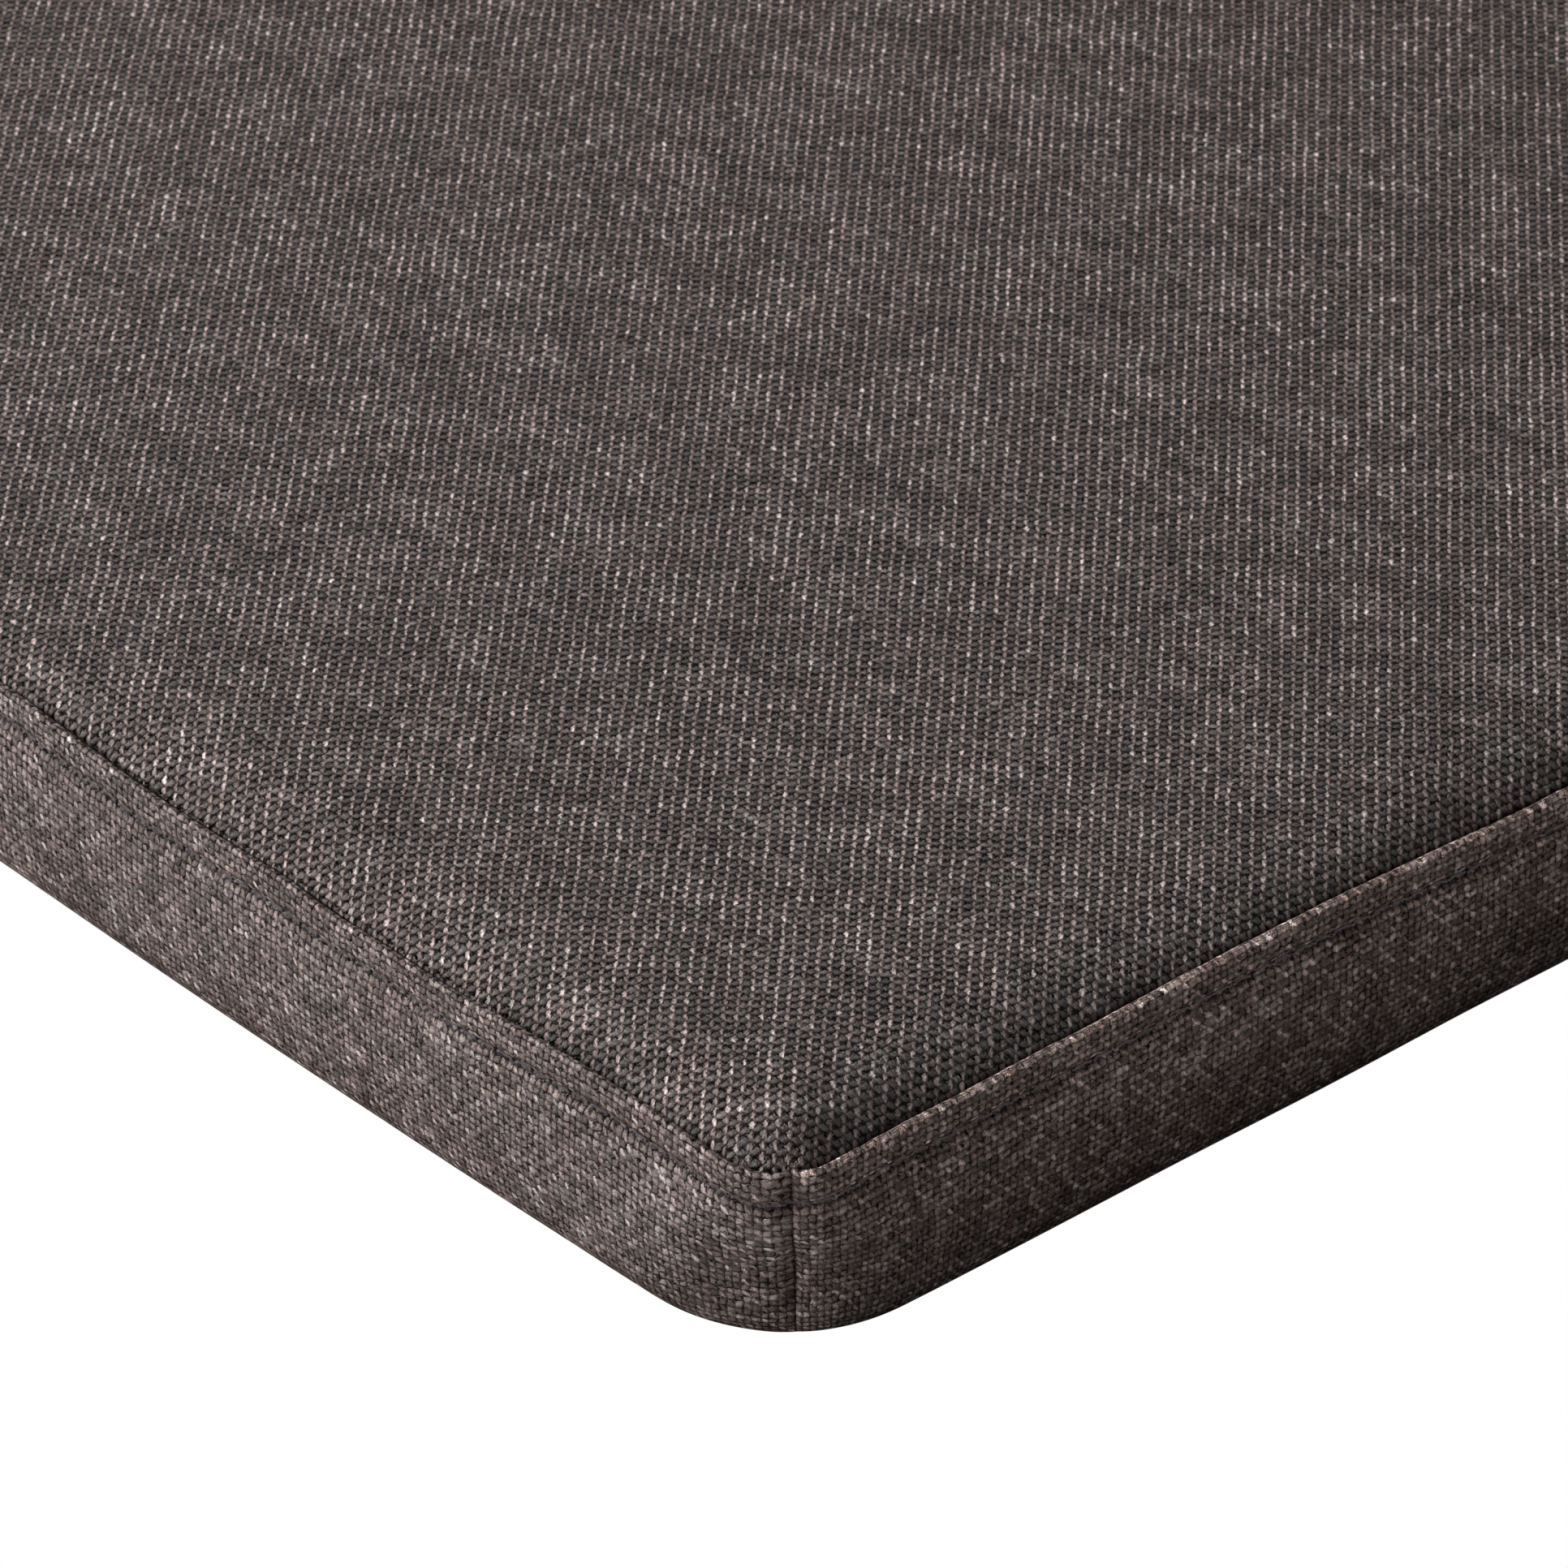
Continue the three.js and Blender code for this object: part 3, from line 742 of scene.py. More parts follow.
for method_name, math_operation in {
    "__add__": "ADD", "__radd__": "ADD", "__sub__": "SUBTRACT", "__mul__": "MULTIPLY",
    "__truediv__": "DIVIDE", "floor": "FLOOR", "abs": "ABSOLUTE", "sqrt": "SQRT",
    "cos": "COSINE", "sin": "SINE", "wrap": "FLOORED_MODULO", "max": "MAXIMUM",
    "above": "GREATER_THAN",
}.items():
    setattr(Expr, method_name,
            lambda self, *others, operation=math_operation: self.apply(operation, *others))


def rgba(colour):
    return colour if isinstance(colour, Expr) else (*colour, 1.0)


def vector(x, y, z):
    return node(x.tree, "CombineXYZ", {0: x, 1: y, 2: z})


def grain(x, y, z, detail=2.0, rough=0.5, scale=1.0):
    """Noise texture at a point; x must be an Expr."""
    inputs = {"Vector": vector(x, y, z), "Scale": scale, "Detail": detail, "Roughness": rough}
    return node(x.tree, "TexNoise", inputs)


def grain_at(point, frequency, detail, rough=0.5):
    """Noise texture with the same frequency on all three axes."""
    return grain(*(axis * frequency for axis in point), detail, rough)


def bump(height, depth, **extra):
    """Bump normal; depth is in mm for a height of 1."""
    inputs = {"Strength": 1.0, "Distance": depth * MM, "Height": height}
    return node(height.tree, "Bump", inputs | extra)


def split(tree, source):
    parts = tree.nodes.new("ShaderNodeSeparateXYZ")
    feed(parts, {0: source})
    return [Expr(tree, output) for output in parts.outputs]


def attribute(tree):
    """The three cloth coordinates."""
    return split(tree, node(tree, "Attribute", {}, "Vector",
                            attribute_type="GEOMETRY", attribute_name="cloth"))


def position(tree):
    """Object coordinates, mm."""
    return [axis * 1000.0 for axis in split(tree, node(tree, "TexCoord", {}, "Object"))]


def new_material(name):
    material = bpy.data.materials.new(name)
    material.use_nodes = True
    tree = material.node_tree
    tree.nodes.clear()
    output = tree.nodes.new("ShaderNodeOutputMaterial")
    shader = tree.nodes.new("ShaderNodeBsdfPrincipled")
    tree.links.new(shader.outputs[0], output.inputs[0])
    return material, tree, shader


# --------------------------------------------------------------------------
# woven cloth
# --------------------------------------------------------------------------
COVER_PITCH = 1.0       # between the threads of the cover


def weave(u, v, seed, pitch, wobble, jitter, lean=0.66, rib=1.0):
    """Plain weave: warp yarns run along v, weft yarns along u.

    wobble and jitter bend the yarns slowly and quickly, lean cants each float, and rib makes
    the weft the thicker yarn. Returns the height (in pitches), a painted shade factor for the
    colour, and the coordinates of the yarns.
    """
    def stray(along, across, frequency, offset, salt):
        return grain(along * frequency + offset, across * frequency, seed + salt, detail=1.0) - 0.5

    slow_u = grain(u * 0.16 + seed * 3.1, v * 0.16, seed) - 0.5
    slow_v = grain(v * 0.16 + 31.7, u * 0.16 + seed * 1.7, seed + 5.0) - 0.5
    quick_u = stray(u, v, 0.75, 3.3, 2.0)
    quick_v = stray(v, u, 0.75, 7.1, 9.0)
    # hairy yarn: its outline is ragged at the scale of its fibres
    ragged_u = stray(u, v, 2.6, 1.1, 13.0)
    ragged_v = stray(v, u, 2.6, 5.1, 17.0)
    u = (u + slow_u * (2 * wobble)) / pitch + quick_u * (3 * jitter) + ragged_u * 0.50
    v = (v + slow_v * (2 * wobble)) / pitch + quick_v * (3 * jitter) + ragged_v * 0.50
    # number of the yarn, and the place within its cell from -0.5 to 0.5
    warp_no, weft_no = u.floor(), v.floor()
    in_u, in_v = u - warp_no - 0.5, v - weft_no - 0.5
    over = 1.0 - (warp_no + weft_no).wrap(2.0) * 2.0
    warp_arch, weft_arch = (in_v * math.pi).cos(), (in_u * math.pi).cos()
    # yarn thickness wanders along each yarn, with a few slubs
    warp_size = grain(warp_no * 7.31 + seed, v * 0.17, 1.5, detail=1.0)
    weft_size = grain(u * 0.17, weft_no * 7.31 + seed, 8.5, detail=1.0)
    warp_slub, weft_slub = warp_size.step(0.60, 0.72), weft_size.step(0.60, 0.72)
    warp_half = (warp_size - 0.5) * 0.34 + (0.47 - 0.06 * rib) + warp_slub * 0.08
    weft_half = (weft_size - 0.5) * 0.34 + (0.48 + 0.06 * rib) + weft_slub * 0.08
    # a float is widest at its middle and narrows where the yarn dives under
    warp_half = warp_half * (over * warp_arch * 0.16 + 0.90)
    weft_half = weft_half * (over * weft_arch * -0.16 + 0.90)
    warp_swing, weft_swing, yarn_height = 0.42, 0.14 + 0.07 * rib, 0.42
    # twisted yarn lies a little askew in each float
    cant = grain(warp_no * 3.7 + 0.5, weft_no * 3.7 + 0.5, 77.0, detail=0.0) * 0.6 + (lean - 0.3)
    # place across each yarn, from -1 to 1
    warp_side = (in_u + in_v * cant) / warp_half
    weft_side = (in_v - in_u * cant * 0.3) / weft_half
    warp_round = (1.0 - warp_side * warp_side).max(0.0).sqrt() * yarn_height
    weft_round = (1.0 - weft_side * weft_side).max(0.0).sqrt() * yarn_height
    warp_z = (over * warp_arch * warp_swing + warp_round + warp_slub * 0.10
              - warp_side.abs().above(1.0) * 0.6)
    weft_z = (-(over * weft_arch * weft_swing) + weft_round + weft_slub * 0.10
              - weft_side.abs().above(1.0) * 0.6)
    warp_on_top = warp_z.above(weft_z)
    # the two yarns press into one another, so the edge between them is soft
    soft = 0.16
    near = (soft - (warp_z - weft_z).abs()).max(0.0) * (1 / soft)
    height = (warp_z.max(weft_z) + near * near * (soft * 0.25)).max(-0.35)
    # painted shade: colour darkened where a yarn dives under its neighbour, along its sides and in
    # low places, much more at one end and one side than the other, as a light from one side would
    # shade them
    warp_end_shade = in_v.step(-0.56, -0.22, 0.14, 1.0) * in_v.step(0.36, 0.62, 1.0, 0.70)
    weft_end_shade = (in_u.step(0.12, 0.50, 1.0, 0.08 + 0.05 * rib)
                 * in_u.step(-0.60, -0.34, 0.66, 1.0))
    warp_side_shade = warp_side.step(0.40, 1.0, 1.0, 0.32) * warp_side.step(-1.0, -0.70, 0.74, 1.0)
    weft_side_shade = (weft_side.step(-0.95, -0.22 - 0.05 * (1 - rib), 0.05 + 0.05 * rib, 1.0)
                  * weft_side.step(0.70, 1.0, 1.0, 0.80))
    light = (warp_on_top.mix(weft_end_shade * weft_side_shade, warp_end_shade * warp_side_shade)
             * height.step(0.0, 0.34, 0.01, 1.0))
    # no two gaps are alike: some close up, some stay wide, so the painted shade in them is lighter
    # or darker
    tight = grain(warp_no * 5.3 + 0.5, weft_no * 5.3 + warp_on_top * 3.7, 99.0, detail=0.0)
    tight = tight.step(0.44, 0.64, 0.0, 0.82 - 0.47 * rib)
    return SimpleNamespace(
        height=height, light=light + (1.0 - light) * tight, warp_on_top=warp_on_top, u=u, v=v,
        warp_no=warp_no, weft_no=weft_no, in_v=in_v, warp_side=warp_side, weft_side=weft_side)


# heathered yarn, dark to light
YARN_STOPS = [
    (0.0, (0.030, 0.0195, 0.0175)), (0.32, (0.069, 0.049, 0.044)), (0.5, (0.116, 0.087, 0.080)),
    (0.68, (0.182, 0.145, 0.137)), (1.0, (0.37, 0.322, 0.312)),
]


def cloth_material(name, cool, warm, gain, contrast, lean, rib, fold_glint=0.0):
    """Cover cloth: cool and warm tint it in patches, gain sets its lightness, contrast the
    spread of its tones, and fold_glint the strength of the painted glints on the fold at the top
    seam. The weave's light and shade is painted into the colour."""
    rough, fibre_bump, specular = 0.56, 0.13, 0.50
    material, tree, shader = new_material(name)
    u, v, seed = attribute(tree)
    yarn = weave(u, v, seed, pitch=COVER_PITCH, wobble=0.34, jitter=0.16, lean=lean, rib=rib)
    on_top, warp_no, weft_no = yarn.warp_on_top, yarn.warp_no, yarn.weft_no
    # painted highlight on the crown of each float, brightest along its middle
    crest_highlight = on_top.mix(
        yarn.weft_side.abs().step(0.0, 0.7, 0.35, 0.0),
        yarn.warp_side.abs().step(0.0, 0.55, 1.0, 0.0) * yarn.in_v.abs().step(0.15, 0.5, 1.0, 0.35))
    # fibre streaks: fine across the yarn, long along it, slightly twisted
    warp_streak = grain(yarn.u * 7.0 + yarn.v * 1.6, yarn.v * 1.1 + warp_no * 5.7, 3.0, 2.0, 0.6)
    weft_streak = grain(yarn.u * 1.1 + weft_no * 5.7, yarn.v * 7.0 - yarn.u * 1.6, 13.0, 2.0, 0.6)
    streak = on_top.mix(weft_streak, warp_streak)
    # heather: each yarn goes lighter and darker along its length
    warp_heather = grain(warp_no * 4.9 + 2.0, yarn.v * 0.21, 21.0, 3.0, 0.65)
    weft_heather = grain(yarn.u * 0.21, weft_no * 4.9 + 2.0, 27.0, 3.0, 0.65)
    heather = on_top.mix(weft_heather, warp_heather)
    cell = grain(warp_no * 3.3 + on_top * 9.0, weft_no * 3.3, 5.0, 0.0)
    # cloudy patches a few yarns wide, longer along the weft
    patch = grain(u * 0.075 + seed, v * 0.13, 2.0, 4.0, 0.62)
    tone = ((heather - 0.5) * 0.90 + (streak - 0.5) * 1.0
            + (cell - 0.5) * (1.45 - 0.50 * rib) + (patch - 0.5) * 0.7) * contrast + 0.5
    colour = tone.ramp(YARN_STOPS)
    hue = grain(warp_no * on_top * 2.7 + 1.0, weft_no * (1.0 - on_top) * 2.7, u * 0.02, 1.0)
    hue = hue * 0.5 + grain(u * 0.16, v * 0.16, 41.0, 2.0) * 0.5
    colour = hue.step(0.40, 0.62).mix_colour(colour.tinted(warm), colour.tinted(cool))
    # painted light and shade: the weave's painted shade darkens the gaps between yarns, the weft
    # floats are painted darker than the warp floats, and painted glints stand for stray fibre ends
    # catching the light
    fine = grain(u * 6.5, v * 6.5, 4.0, 1.0)
    spark_glint = grain(u * 5.0 + v * 1.3, v * 5.0 - u * 1.3, 61.0, 2.0, 0.7).step(0.57, 0.68)
    lit = (yarn.light * (crest_highlight * 0.95 + on_top.mix(0.74 - 0.16 * rib, 0.86 + 0.20 * rib))
           + spark_glint * 0.9 * yarn.height.step(0.1, 0.5))
    height = yarn.height + (streak - 0.5) * (2.0 * fibre_bump) + (fine - 0.5) * 0.16
    if rib > 0.5:
        # warp crowns follow one another on the diagonal and stand out as fine ribs: a painted
        # highlight along each rib line, and a slight rise in height
        along = grain(((yarn.u + yarn.v) * 0.5).floor() * 3.1, (yarn.v - yarn.u) * 0.28, 19.0,
                      2.0, 0.7)
        line = ((yarn.u + yarn.v).wrap(2.0) - 1.0).abs().step(0.04, 0.66, 1.0, 0.0)
        lit = lit * (line * along.step(0.25, 0.70, 0.55, 1.05) + 0.66)
        height = height + line * 0.10
    if fold_glint:
        # painted glints: bright spots along the fold at the seam, as fibre ends catching the light
        knot_glints = grain(u * 0.9, 3.0, seed, 1.0).step(0.38, 0.60) * fine.step(0.40, 0.62)
        # and painted shade in the groove the topstitch pulls
        pulled = grain(u * 0.22, 7.0, seed, 2.0, 0.6).step(0.42, 0.60, 0.42, 0.80)
        groove_shade = (v + TOPSTITCH_V).abs().step(0.15, 1.0, 1.0, 0.0)
        lit = lit * (1.0 - groove_shade * (1.0 - pulled))
        # the fold is painted brighter as a highlight, with the glints on top; the front wall, which
        # has the lowest seed, gets only a faint share of it
        glint_strength = seed.step(20.0, 30.0, 0.12, 1.0)
        fold = v.step(-1.5, -0.5) * v.step(0.2, 1.2, 1.0, 0.0)
        lit = lit * (1.0 + fold * (knot_glints * fold_glint + 0.5) * glint_strength)
    # only the crowns of the yarns shine, and less at a grazing view
    facing = node(tree, "LayerWeight", {0: 0.5}, "Facing").step(0.46, 0.72, 1.0, 0.15)
    feed(shader, {
        "Base Color": colour.scaled(lit * gain),
        "Normal": bump(height, COVER_PITCH * 1.1),
        "Roughness": streak.step(0.35, 0.7, rough + 0.10, rough - 0.14),
        "Specular IOR Level": yarn.light * yarn.light * specular * facing,
    })
    return material


def base_material(name):
    """Dark non-slip base cloth: tight plain weave under a thin rubbery coat."""
    material, tree, shader = new_material(name)
    u, v, seed = attribute(tree)
    yarn = weave(u, v, seed, pitch=0.55, wobble=0.12, jitter=0.08)
    patch = grain(u * 0.05, v * 0.05, 3.0, 4.0, 0.6)
    fibre = grain(u * 6.0, v * 6.0, 9.0, 2.0)
    tone = (patch - 0.5) * 0.7 + (fibre - 0.5) * 0.6 + 0.5
    colour = tone.ramp([(0.2, (0.016, 0.015, 0.015)), (0.5, (0.032, 0.029, 0.029)),
                        (0.8, (0.058, 0.053, 0.052))])
    feed(shader, {
        # painted shade from the weave darkens the gaps between the yarns
        "Base Color": colour.scaled(yarn.light * 0.75 + 0.25),
        "Normal": bump(yarn.height + (fibre - 0.5) * 0.2, 0.45),
        "Roughness": patch.step(0.3, 0.7, 0.78, 0.55),
    })
    return material


# --------------------------------------------------------------------------
# the other materials
# --------------------------------------------------------------------------
THREAD_COLOUR = (0.050, 0.042, 0.050)


def thread_material(name, tube=True):
    """Twisted sewing thread: slanting plies; tube reads the coordinates add_tubes gives."""
    material, tree, shader = new_material(name)
    if tube:
        along, angle, _ = attribute(tree)
        twist = along * 34.0 + angle
    else:
        x, y, z = position(tree)
        twist = (x + y) * 9.0 + z * 5.0
    ply = twist.sin() * 0.5 + 0.5
    fuzz = grain(twist * 0.9, twist * 0.13, 3.0, scale=2.0)
    colour = fuzz.mix_colour(THREAD_COLOUR, tuple(min(1.0, c * 1.9) for c in THREAD_COLOUR))
    feed(shader, {
        # painted shade: the colour darkens in the grooves between the plies
        "Base Color": colour.scaled((ply * 0.65 + 0.45) * (fuzz * 0.8 + 0.6)),
        "Normal": bump(ply + fuzz * 0.3, 0.08),
        "Roughness": 0.5,
    })
    return material


def tape_material(name):
    """Zip tape: fine herringbone in dark yarn."""
    band, rib_pitch, thread_pitch = 1.3, 0.62, 0.32
    material, tree, shader = new_material(name)
    x, z, _ = attribute(tree)
    flip = 1.0 - (z / band).floor().wrap(2.0) * 2.0
    slant = x * 1.0 + z * flip * 1.0
    rib = (slant * (2 * math.pi / rib_pitch)).sin() * 0.5 + 0.5
    across = (z * (2 * math.pi / thread_pitch)).sin() * 0.5 + 0.5
    height = rib * 0.7 + across * 0.3 + grain(x * 3.0, z * 3.0, 1.0, 3.0) * 0.3
    # painted shade and highlight: the colour follows the height, dark in the valleys between the
    # ribs and light on their tops
    feed(shader, {
        "Base Color": (height * 0.75).ramp([
            (0.0, (0.008, 0.007, 0.007)), (0.45, (0.030, 0.025, 0.024)),
            (1.0, (0.085, 0.073, 0.070))]),
        "Normal": bump(height, 0.14),
        "Roughness": 0.72,
    })
    return material


def coil_material(name):
    """Nylon monofilament: dark and smooth, with worn brighter patches."""
    material, tree, shader = new_material(name)
    x, y, z = position(tree)
    worn = grain(x * 0.5, y * 2.0, z * 2.0, 3.0)
    feed(shader, {
        "Base Color": worn.ramp([
            (0.3, (0.020, 0.017, 0.017)), (0.55, (0.040, 0.034, 0.033)),
            (0.8, (0.075, 0.066, 0.064))]),
        "Normal": bump(grain_at((x, y, z), 14.0, 1.0), 0.02),
        "Roughness": worn.step(0.3, 0.7, 0.42, 0.26),
    })
    return material


def rubber_material(name):
    """Printed rubber grip dots, dusty in patches."""
    material, tree, shader = new_material(name)
    point = position(tree)
    dust = grain_at(point, 0.9, 4.0, 0.65)
    feed(shader, {
        "Base Color": dust.ramp([
            (0.35, (0.012, 0.012, 0.013)), (0.6, (0.024, 0.023, 0.023)),
            (0.8, (0.07, 0.065, 0.06))]),
        "Normal": bump(grain_at(point, 7.0, 2.0), 0.06),
        "Roughness": dust.step(0.35, 0.75, 0.42, 0.75),
    })
    return material


def foam_material(name, colour, cell):
    """Open-cell foam: cell walls round pores, with painted shade making the pores dark, a cell
    across.
    """
    material, tree, shader = new_material(name)
    x, y, z = position(tree)
    distance = node(tree, "TexVoronoi", {"Vector": vector(x / cell, y / cell, z / cell)},
                    "Distance", feature="DISTANCE_TO_EDGE")
    # painted shade: the pores between the cell walls are darkened
    wall = distance.step(0.02, 0.30, 1.0, 0.0)
    cloud = grain(x * 0.03, y * 0.03, z * 0.1, 3.0)
    mottled = cloud.mix_colour(colour, tuple(c * 0.86 for c in colour))
    feed(shader, {
        "Base Color": mottled.scaled((wall * 0.55 + 0.45) * (cloud * 0.4 + 0.8)),
        "Normal": bump(wall, 0.25),
        "Roughness": 0.92,
    })
    return material


def wadding_material(name):
    """Bonded polyester fleece: white, with crossing fibres."""
    material, tree, shader = new_material(name)
    x, y, z = position(tree)
    one_way = grain(x * 0.35 + y * 0.2, y * 3.0 - x * 1.2, z, 4.0, 0.7)
    other_way = grain(x * 3.0 + y * 1.4, y * 0.35 - x * 0.2, z + 9.0, 4.0, 0.7)
    fibres = one_way.max(other_way)
    feed(shader, {
        "Base Color": fibres.ramp([
            (0.35, (0.55, 0.55, 0.55)), (0.6, (0.76, 0.76, 0.75)), (0.8, (0.90, 0.90, 0.89))]),
        "Normal": bump(fibres, 0.6),
        "Roughness": 0.95,
    })
    return material


def metal_material(name):
    """Near-black paint, rubbed to metal on the edges, with fine scratches."""
    material, tree, shader = new_material(name)
    x, y, z = position(tree)
    rounded = node(tree, "Bevel", {"Radius": 0.00022}, samples=6)
    normal = node(tree, "NewGeometry", {}, "Normal")
    flat = node(tree, "VectorMath", {0: rounded, 1: normal}, "Value", operation="DOT_PRODUCT")
    grime = grain_at((x, y, z), 1.2, 4.0, 0.65)
    worn = ((1.0 - flat) * 6.0 + (grime - 0.5) * 0.9).step(0.35, 0.75)
    scratch = grain(x * 0.8, y * 14.0, z * 14.0, 3.0, 0.7)
    paint = grime.ramp([(0.3, (0.018, 0.016, 0.016)), (0.7, (0.036, 0.032, 0.031))])
    bare = scratch.ramp([(0.3, (0.34, 0.33, 0.31)), (0.7, (0.56, 0.55, 0.53))])
    feed(shader, {
        "Base Color": worn.mix_colour(paint, bare),
        "Metallic": worn * 0.85 + 0.1,
        "Roughness": scratch.step(0.35, 0.75, 0.24, 0.46) + worn * 0.08,
        "Normal": bump(scratch, 0.012, Normal=rounded),
    })
    return material


COVER = cloth_material(
    "cover_cloth", cool=(0.935, 0.955, 0.958), warm=(1.06, 0.975, 0.958),
    gain=0.865, contrast=1.26, lean=0.66, rib=1.0)
SIDE_COVER = cloth_material(
    "cover_cloth_sides", cool=(0.94, 0.95, 0.945), warm=(1.06, 0.97, 0.945),
    gain=0.87, contrast=1.08, lean=0.55, rib=0.30, fold_glint=7.0)
RUBBER = rubber_material("grip_rubber")

# --------------------------------------------------------------------------
# cover: top panel and plain walls
# --------------------------------------------------------------------------
build_top_panel(COVER)
for side_name in ("front", "right", "left"):
    add_sheet("boxing_" + side_name, *wall_points(side_name, wall_columns(side_name), WALL_ROWS),
              0.9, SIDE_COVER, "cover_cloth")

# --------------------------------------------------------------------------
# back wall: an upper and a lower strip with folded edges, either side of the zip
# --------------------------------------------------------------------------
HEM_RADIUS, HEM_BACK = 0.72, 2.4        # roll of a hem, and how far it runs back behind
HEM_STITCH = 1.9                        # from a hem's edge to its row of stitches
FLAT_V = np.linspace(6.4, ROLL_V, 163)
FLAT_Z = spline(WALL, FLAT_V)[:, 1]


def v_at(z):
    """Where the flat of the wall reaches height z."""
    return float(np.interp(-z, -FLAT_Z, FLAT_V))


UPPER_EDGE = v_at(cad("boxing_back_upper")[0][2] + HEM_RADIUS)
LOWER_EDGE = v_at(cad("boxing_back_lower")[1][2] - HEM_RADIUS)


def add_hem(points, cloth, at_end):
    """Adds rows to a grid: its last or first edge rolls over and runs back behind it."""
    row = -1 if at_end else 0
    sign = -1.0 if at_end else 1.0
    normal = outward(points)[row]
    # inward, vertical and run along the cloth
    steps = [(HEM_RADIUS * (1 - math.cos(a)), HEM_RADIUS * math.sin(a), HEM_RADIUS * a)
             for a in np.linspace(0, math.pi, 9)[1:]]
    steps += [(2 * HEM_RADIUS, -b, HEM_RADIUS * math.pi + b)
              for b in np.linspace(0, HEM_BACK, 4)[1:]]
    hem = np.array([points[row] - normal * inward + np.array([0, 0, sign * dz])
                    for inward, dz, _ in steps])
    hem_cloth = np.array([cloth[row] + np.array([0, sign * run, 0]) for _, _, run in steps])
    if at_end:
        return np.concatenate([points, hem]), np.concatenate([cloth, hem_cloth])
    return np.concatenate([hem[::-1], points]), np.concatenate([hem_cloth[::-1], cloth])


def build_back_strip(node_name, rows, at_end):
    points, cloth = wall_points("back", wall_columns("back"), rows)
    # the hem stands a little full at its edge and is pulled in along its row of stitches
    from_edge = rows[-1] - rows if at_end else rows - rows[0]
    shape = -0.30 * bell(from_edge, HEM_STITCH, 0.55) + 0.12 * bell(from_edge, 0.7, 0.6)
    points = points + outward(points) * shape[:, None, None]
    points, cloth = add_hem(points, cloth, at_end)
    add_sheet(node_name, points, cloth, 0.5, SIDE_COVER, "cover_cloth")


build_back_strip("boxing_back_upper", np.unique(np.concatenate([
    WALL_ROWS[WALL_ROWS < UPPER_EDGE - 0.5], np.linspace(UPPER_EDGE - 0.45, UPPER_EDGE, 3),
    np.linspace(UPPER_EDGE - 3.2, UPPER_EDGE, 12)])), at_end=True)
build_back_strip("boxing_back_lower", np.unique(np.concatenate([
    np.linspace(LOWER_EDGE, LOWER_EDGE + 3.2, 12), WALL_ROWS[WALL_ROWS > LOWER_EDGE + 0.5]])),
    at_end=False)

TAB_X = cad("zip_end_tab_right")[0][0]  # inner edge of the tabs
BACK_END = u_end("back")


def build_zip_tab(node_name, sign):
    """Cloth tab that closes one end of the zip opening; u runs towards -x."""
    from_end = np.concatenate([
        np.linspace(BACK_END - TAB_X, 6, 18), np.linspace(5, 2, 7), END_COLUMNS])
    u = (BACK_END - from_end) * sign
    if sign < 0:
        u = u[::-1]
    low, high = cad(node_name)
    v = np.linspace(v_at(high[2] - 0.2), v_at(low[2] + 0.2), 14)
    points, cloth = wall_points("back", u, v, end_plump=0.1)
    # set in from the wall, more at its inner, upper and lower edges
    from_side = np.abs(np.abs(u) - TAB_X)[None, :]
    from_edge = np.minimum(v - v[0], v[-1] - v)[:, None]
    inward = 0.45 + 0.8 * bell(from_side, 0, 0.7) + 0.6 * bell(from_edge, 0, 0.6)
    points = points - outward(points) * inward[..., None]
    add_sheet(node_name, points, cloth, 0.6, SIDE_COVER, "cover_cloth")


build_zip_tab("zip_end_tab_right", -1.0)
build_zip_tab("zip_end_tab_left", 1.0)

# --------------------------------------------------------------------------
# thread
# --------------------------------------------------------------------------
THREAD = thread_material("sewing_thread")
ALONG = np.linspace(0, 1, 9)            # points of one stitch
SWING = 2 * ALONG - 1
STITCH_ROWS = np.array([-0.35, 0.0, 0.35])      # rows of the small grid a stitch lies on


def stitch_paths(side, v, out=0.02, trim=0.0):
    """One short bowed path per stitch along a wall, out from its surface at mid stitch."""
    reach = u_end(side) - trim
    middle = float(around(side, 0.0))
    first = math.ceil((middle - reach) / STITCH)
    last = math.floor((middle + reach) / STITCH)
    starts = np.arange(first, last) * STITCH - middle
    u = starts[:, None] + STITCH * (0.09 + 0.82 * ALONG)[None, :]
    points, _ = wall_points(side, u.ravel(), v + STITCH_ROWS)
    shape = (len(starts), len(ALONG), 3)
    bow = out - 0.42 * SWING ** 6 + 0.05 * (1 - SWING ** 2)
    paths = points[1].reshape(shape) + outward(points)[1].reshape(shape) * bow[None, :, None]
    # no two stitches lie exactly alike
    tilt = noise(np.arange(len(starts)) * 1.37, 0.0, 71 + SEEDS[side]) * 0.10
    paths[..., 2] += tilt[:, None] * SWING[None, :]
    return paths


def corner_stitch(side, following):
    """The stitch that spans the seam between two walls, lying over the crease."""
    from_end = np.array([1.5, 0.9, 0.3])
    rows = TOPSTITCH_V + STITCH_ROWS
    here, _ = wall_points(side, u_end(side) - from_end, rows)
    there, _ = wall_points(following, -(u_end(following) - from_end[::-1]), rows)
    start, stop = here[1, 0], there[1, -1]
    normal = outward(here)[1, 0] + outward(there)[1, -1]
    normal = normal / np.linalg.norm(normal)
    line = start[None, :] * (1 - ALONG)[:, None] + stop[None, :] * ALONG[:, None]
    return line + normal[None, :] * (0.30 - 0.55 * SWING ** 6)[:, None]


ROUND = list(SIDES)
corner_stitches = [corner_stitch(a, b) for a, b in zip(ROUND, ROUND[1:] + ROUND[:1])]
add_tubes("topstitch_row",
          np.concatenate([stitch_paths(side, TOPSTITCH_V) for side in ROUND] + [corner_stitches]),
          0.21, THREAD, "topstitch_thread")

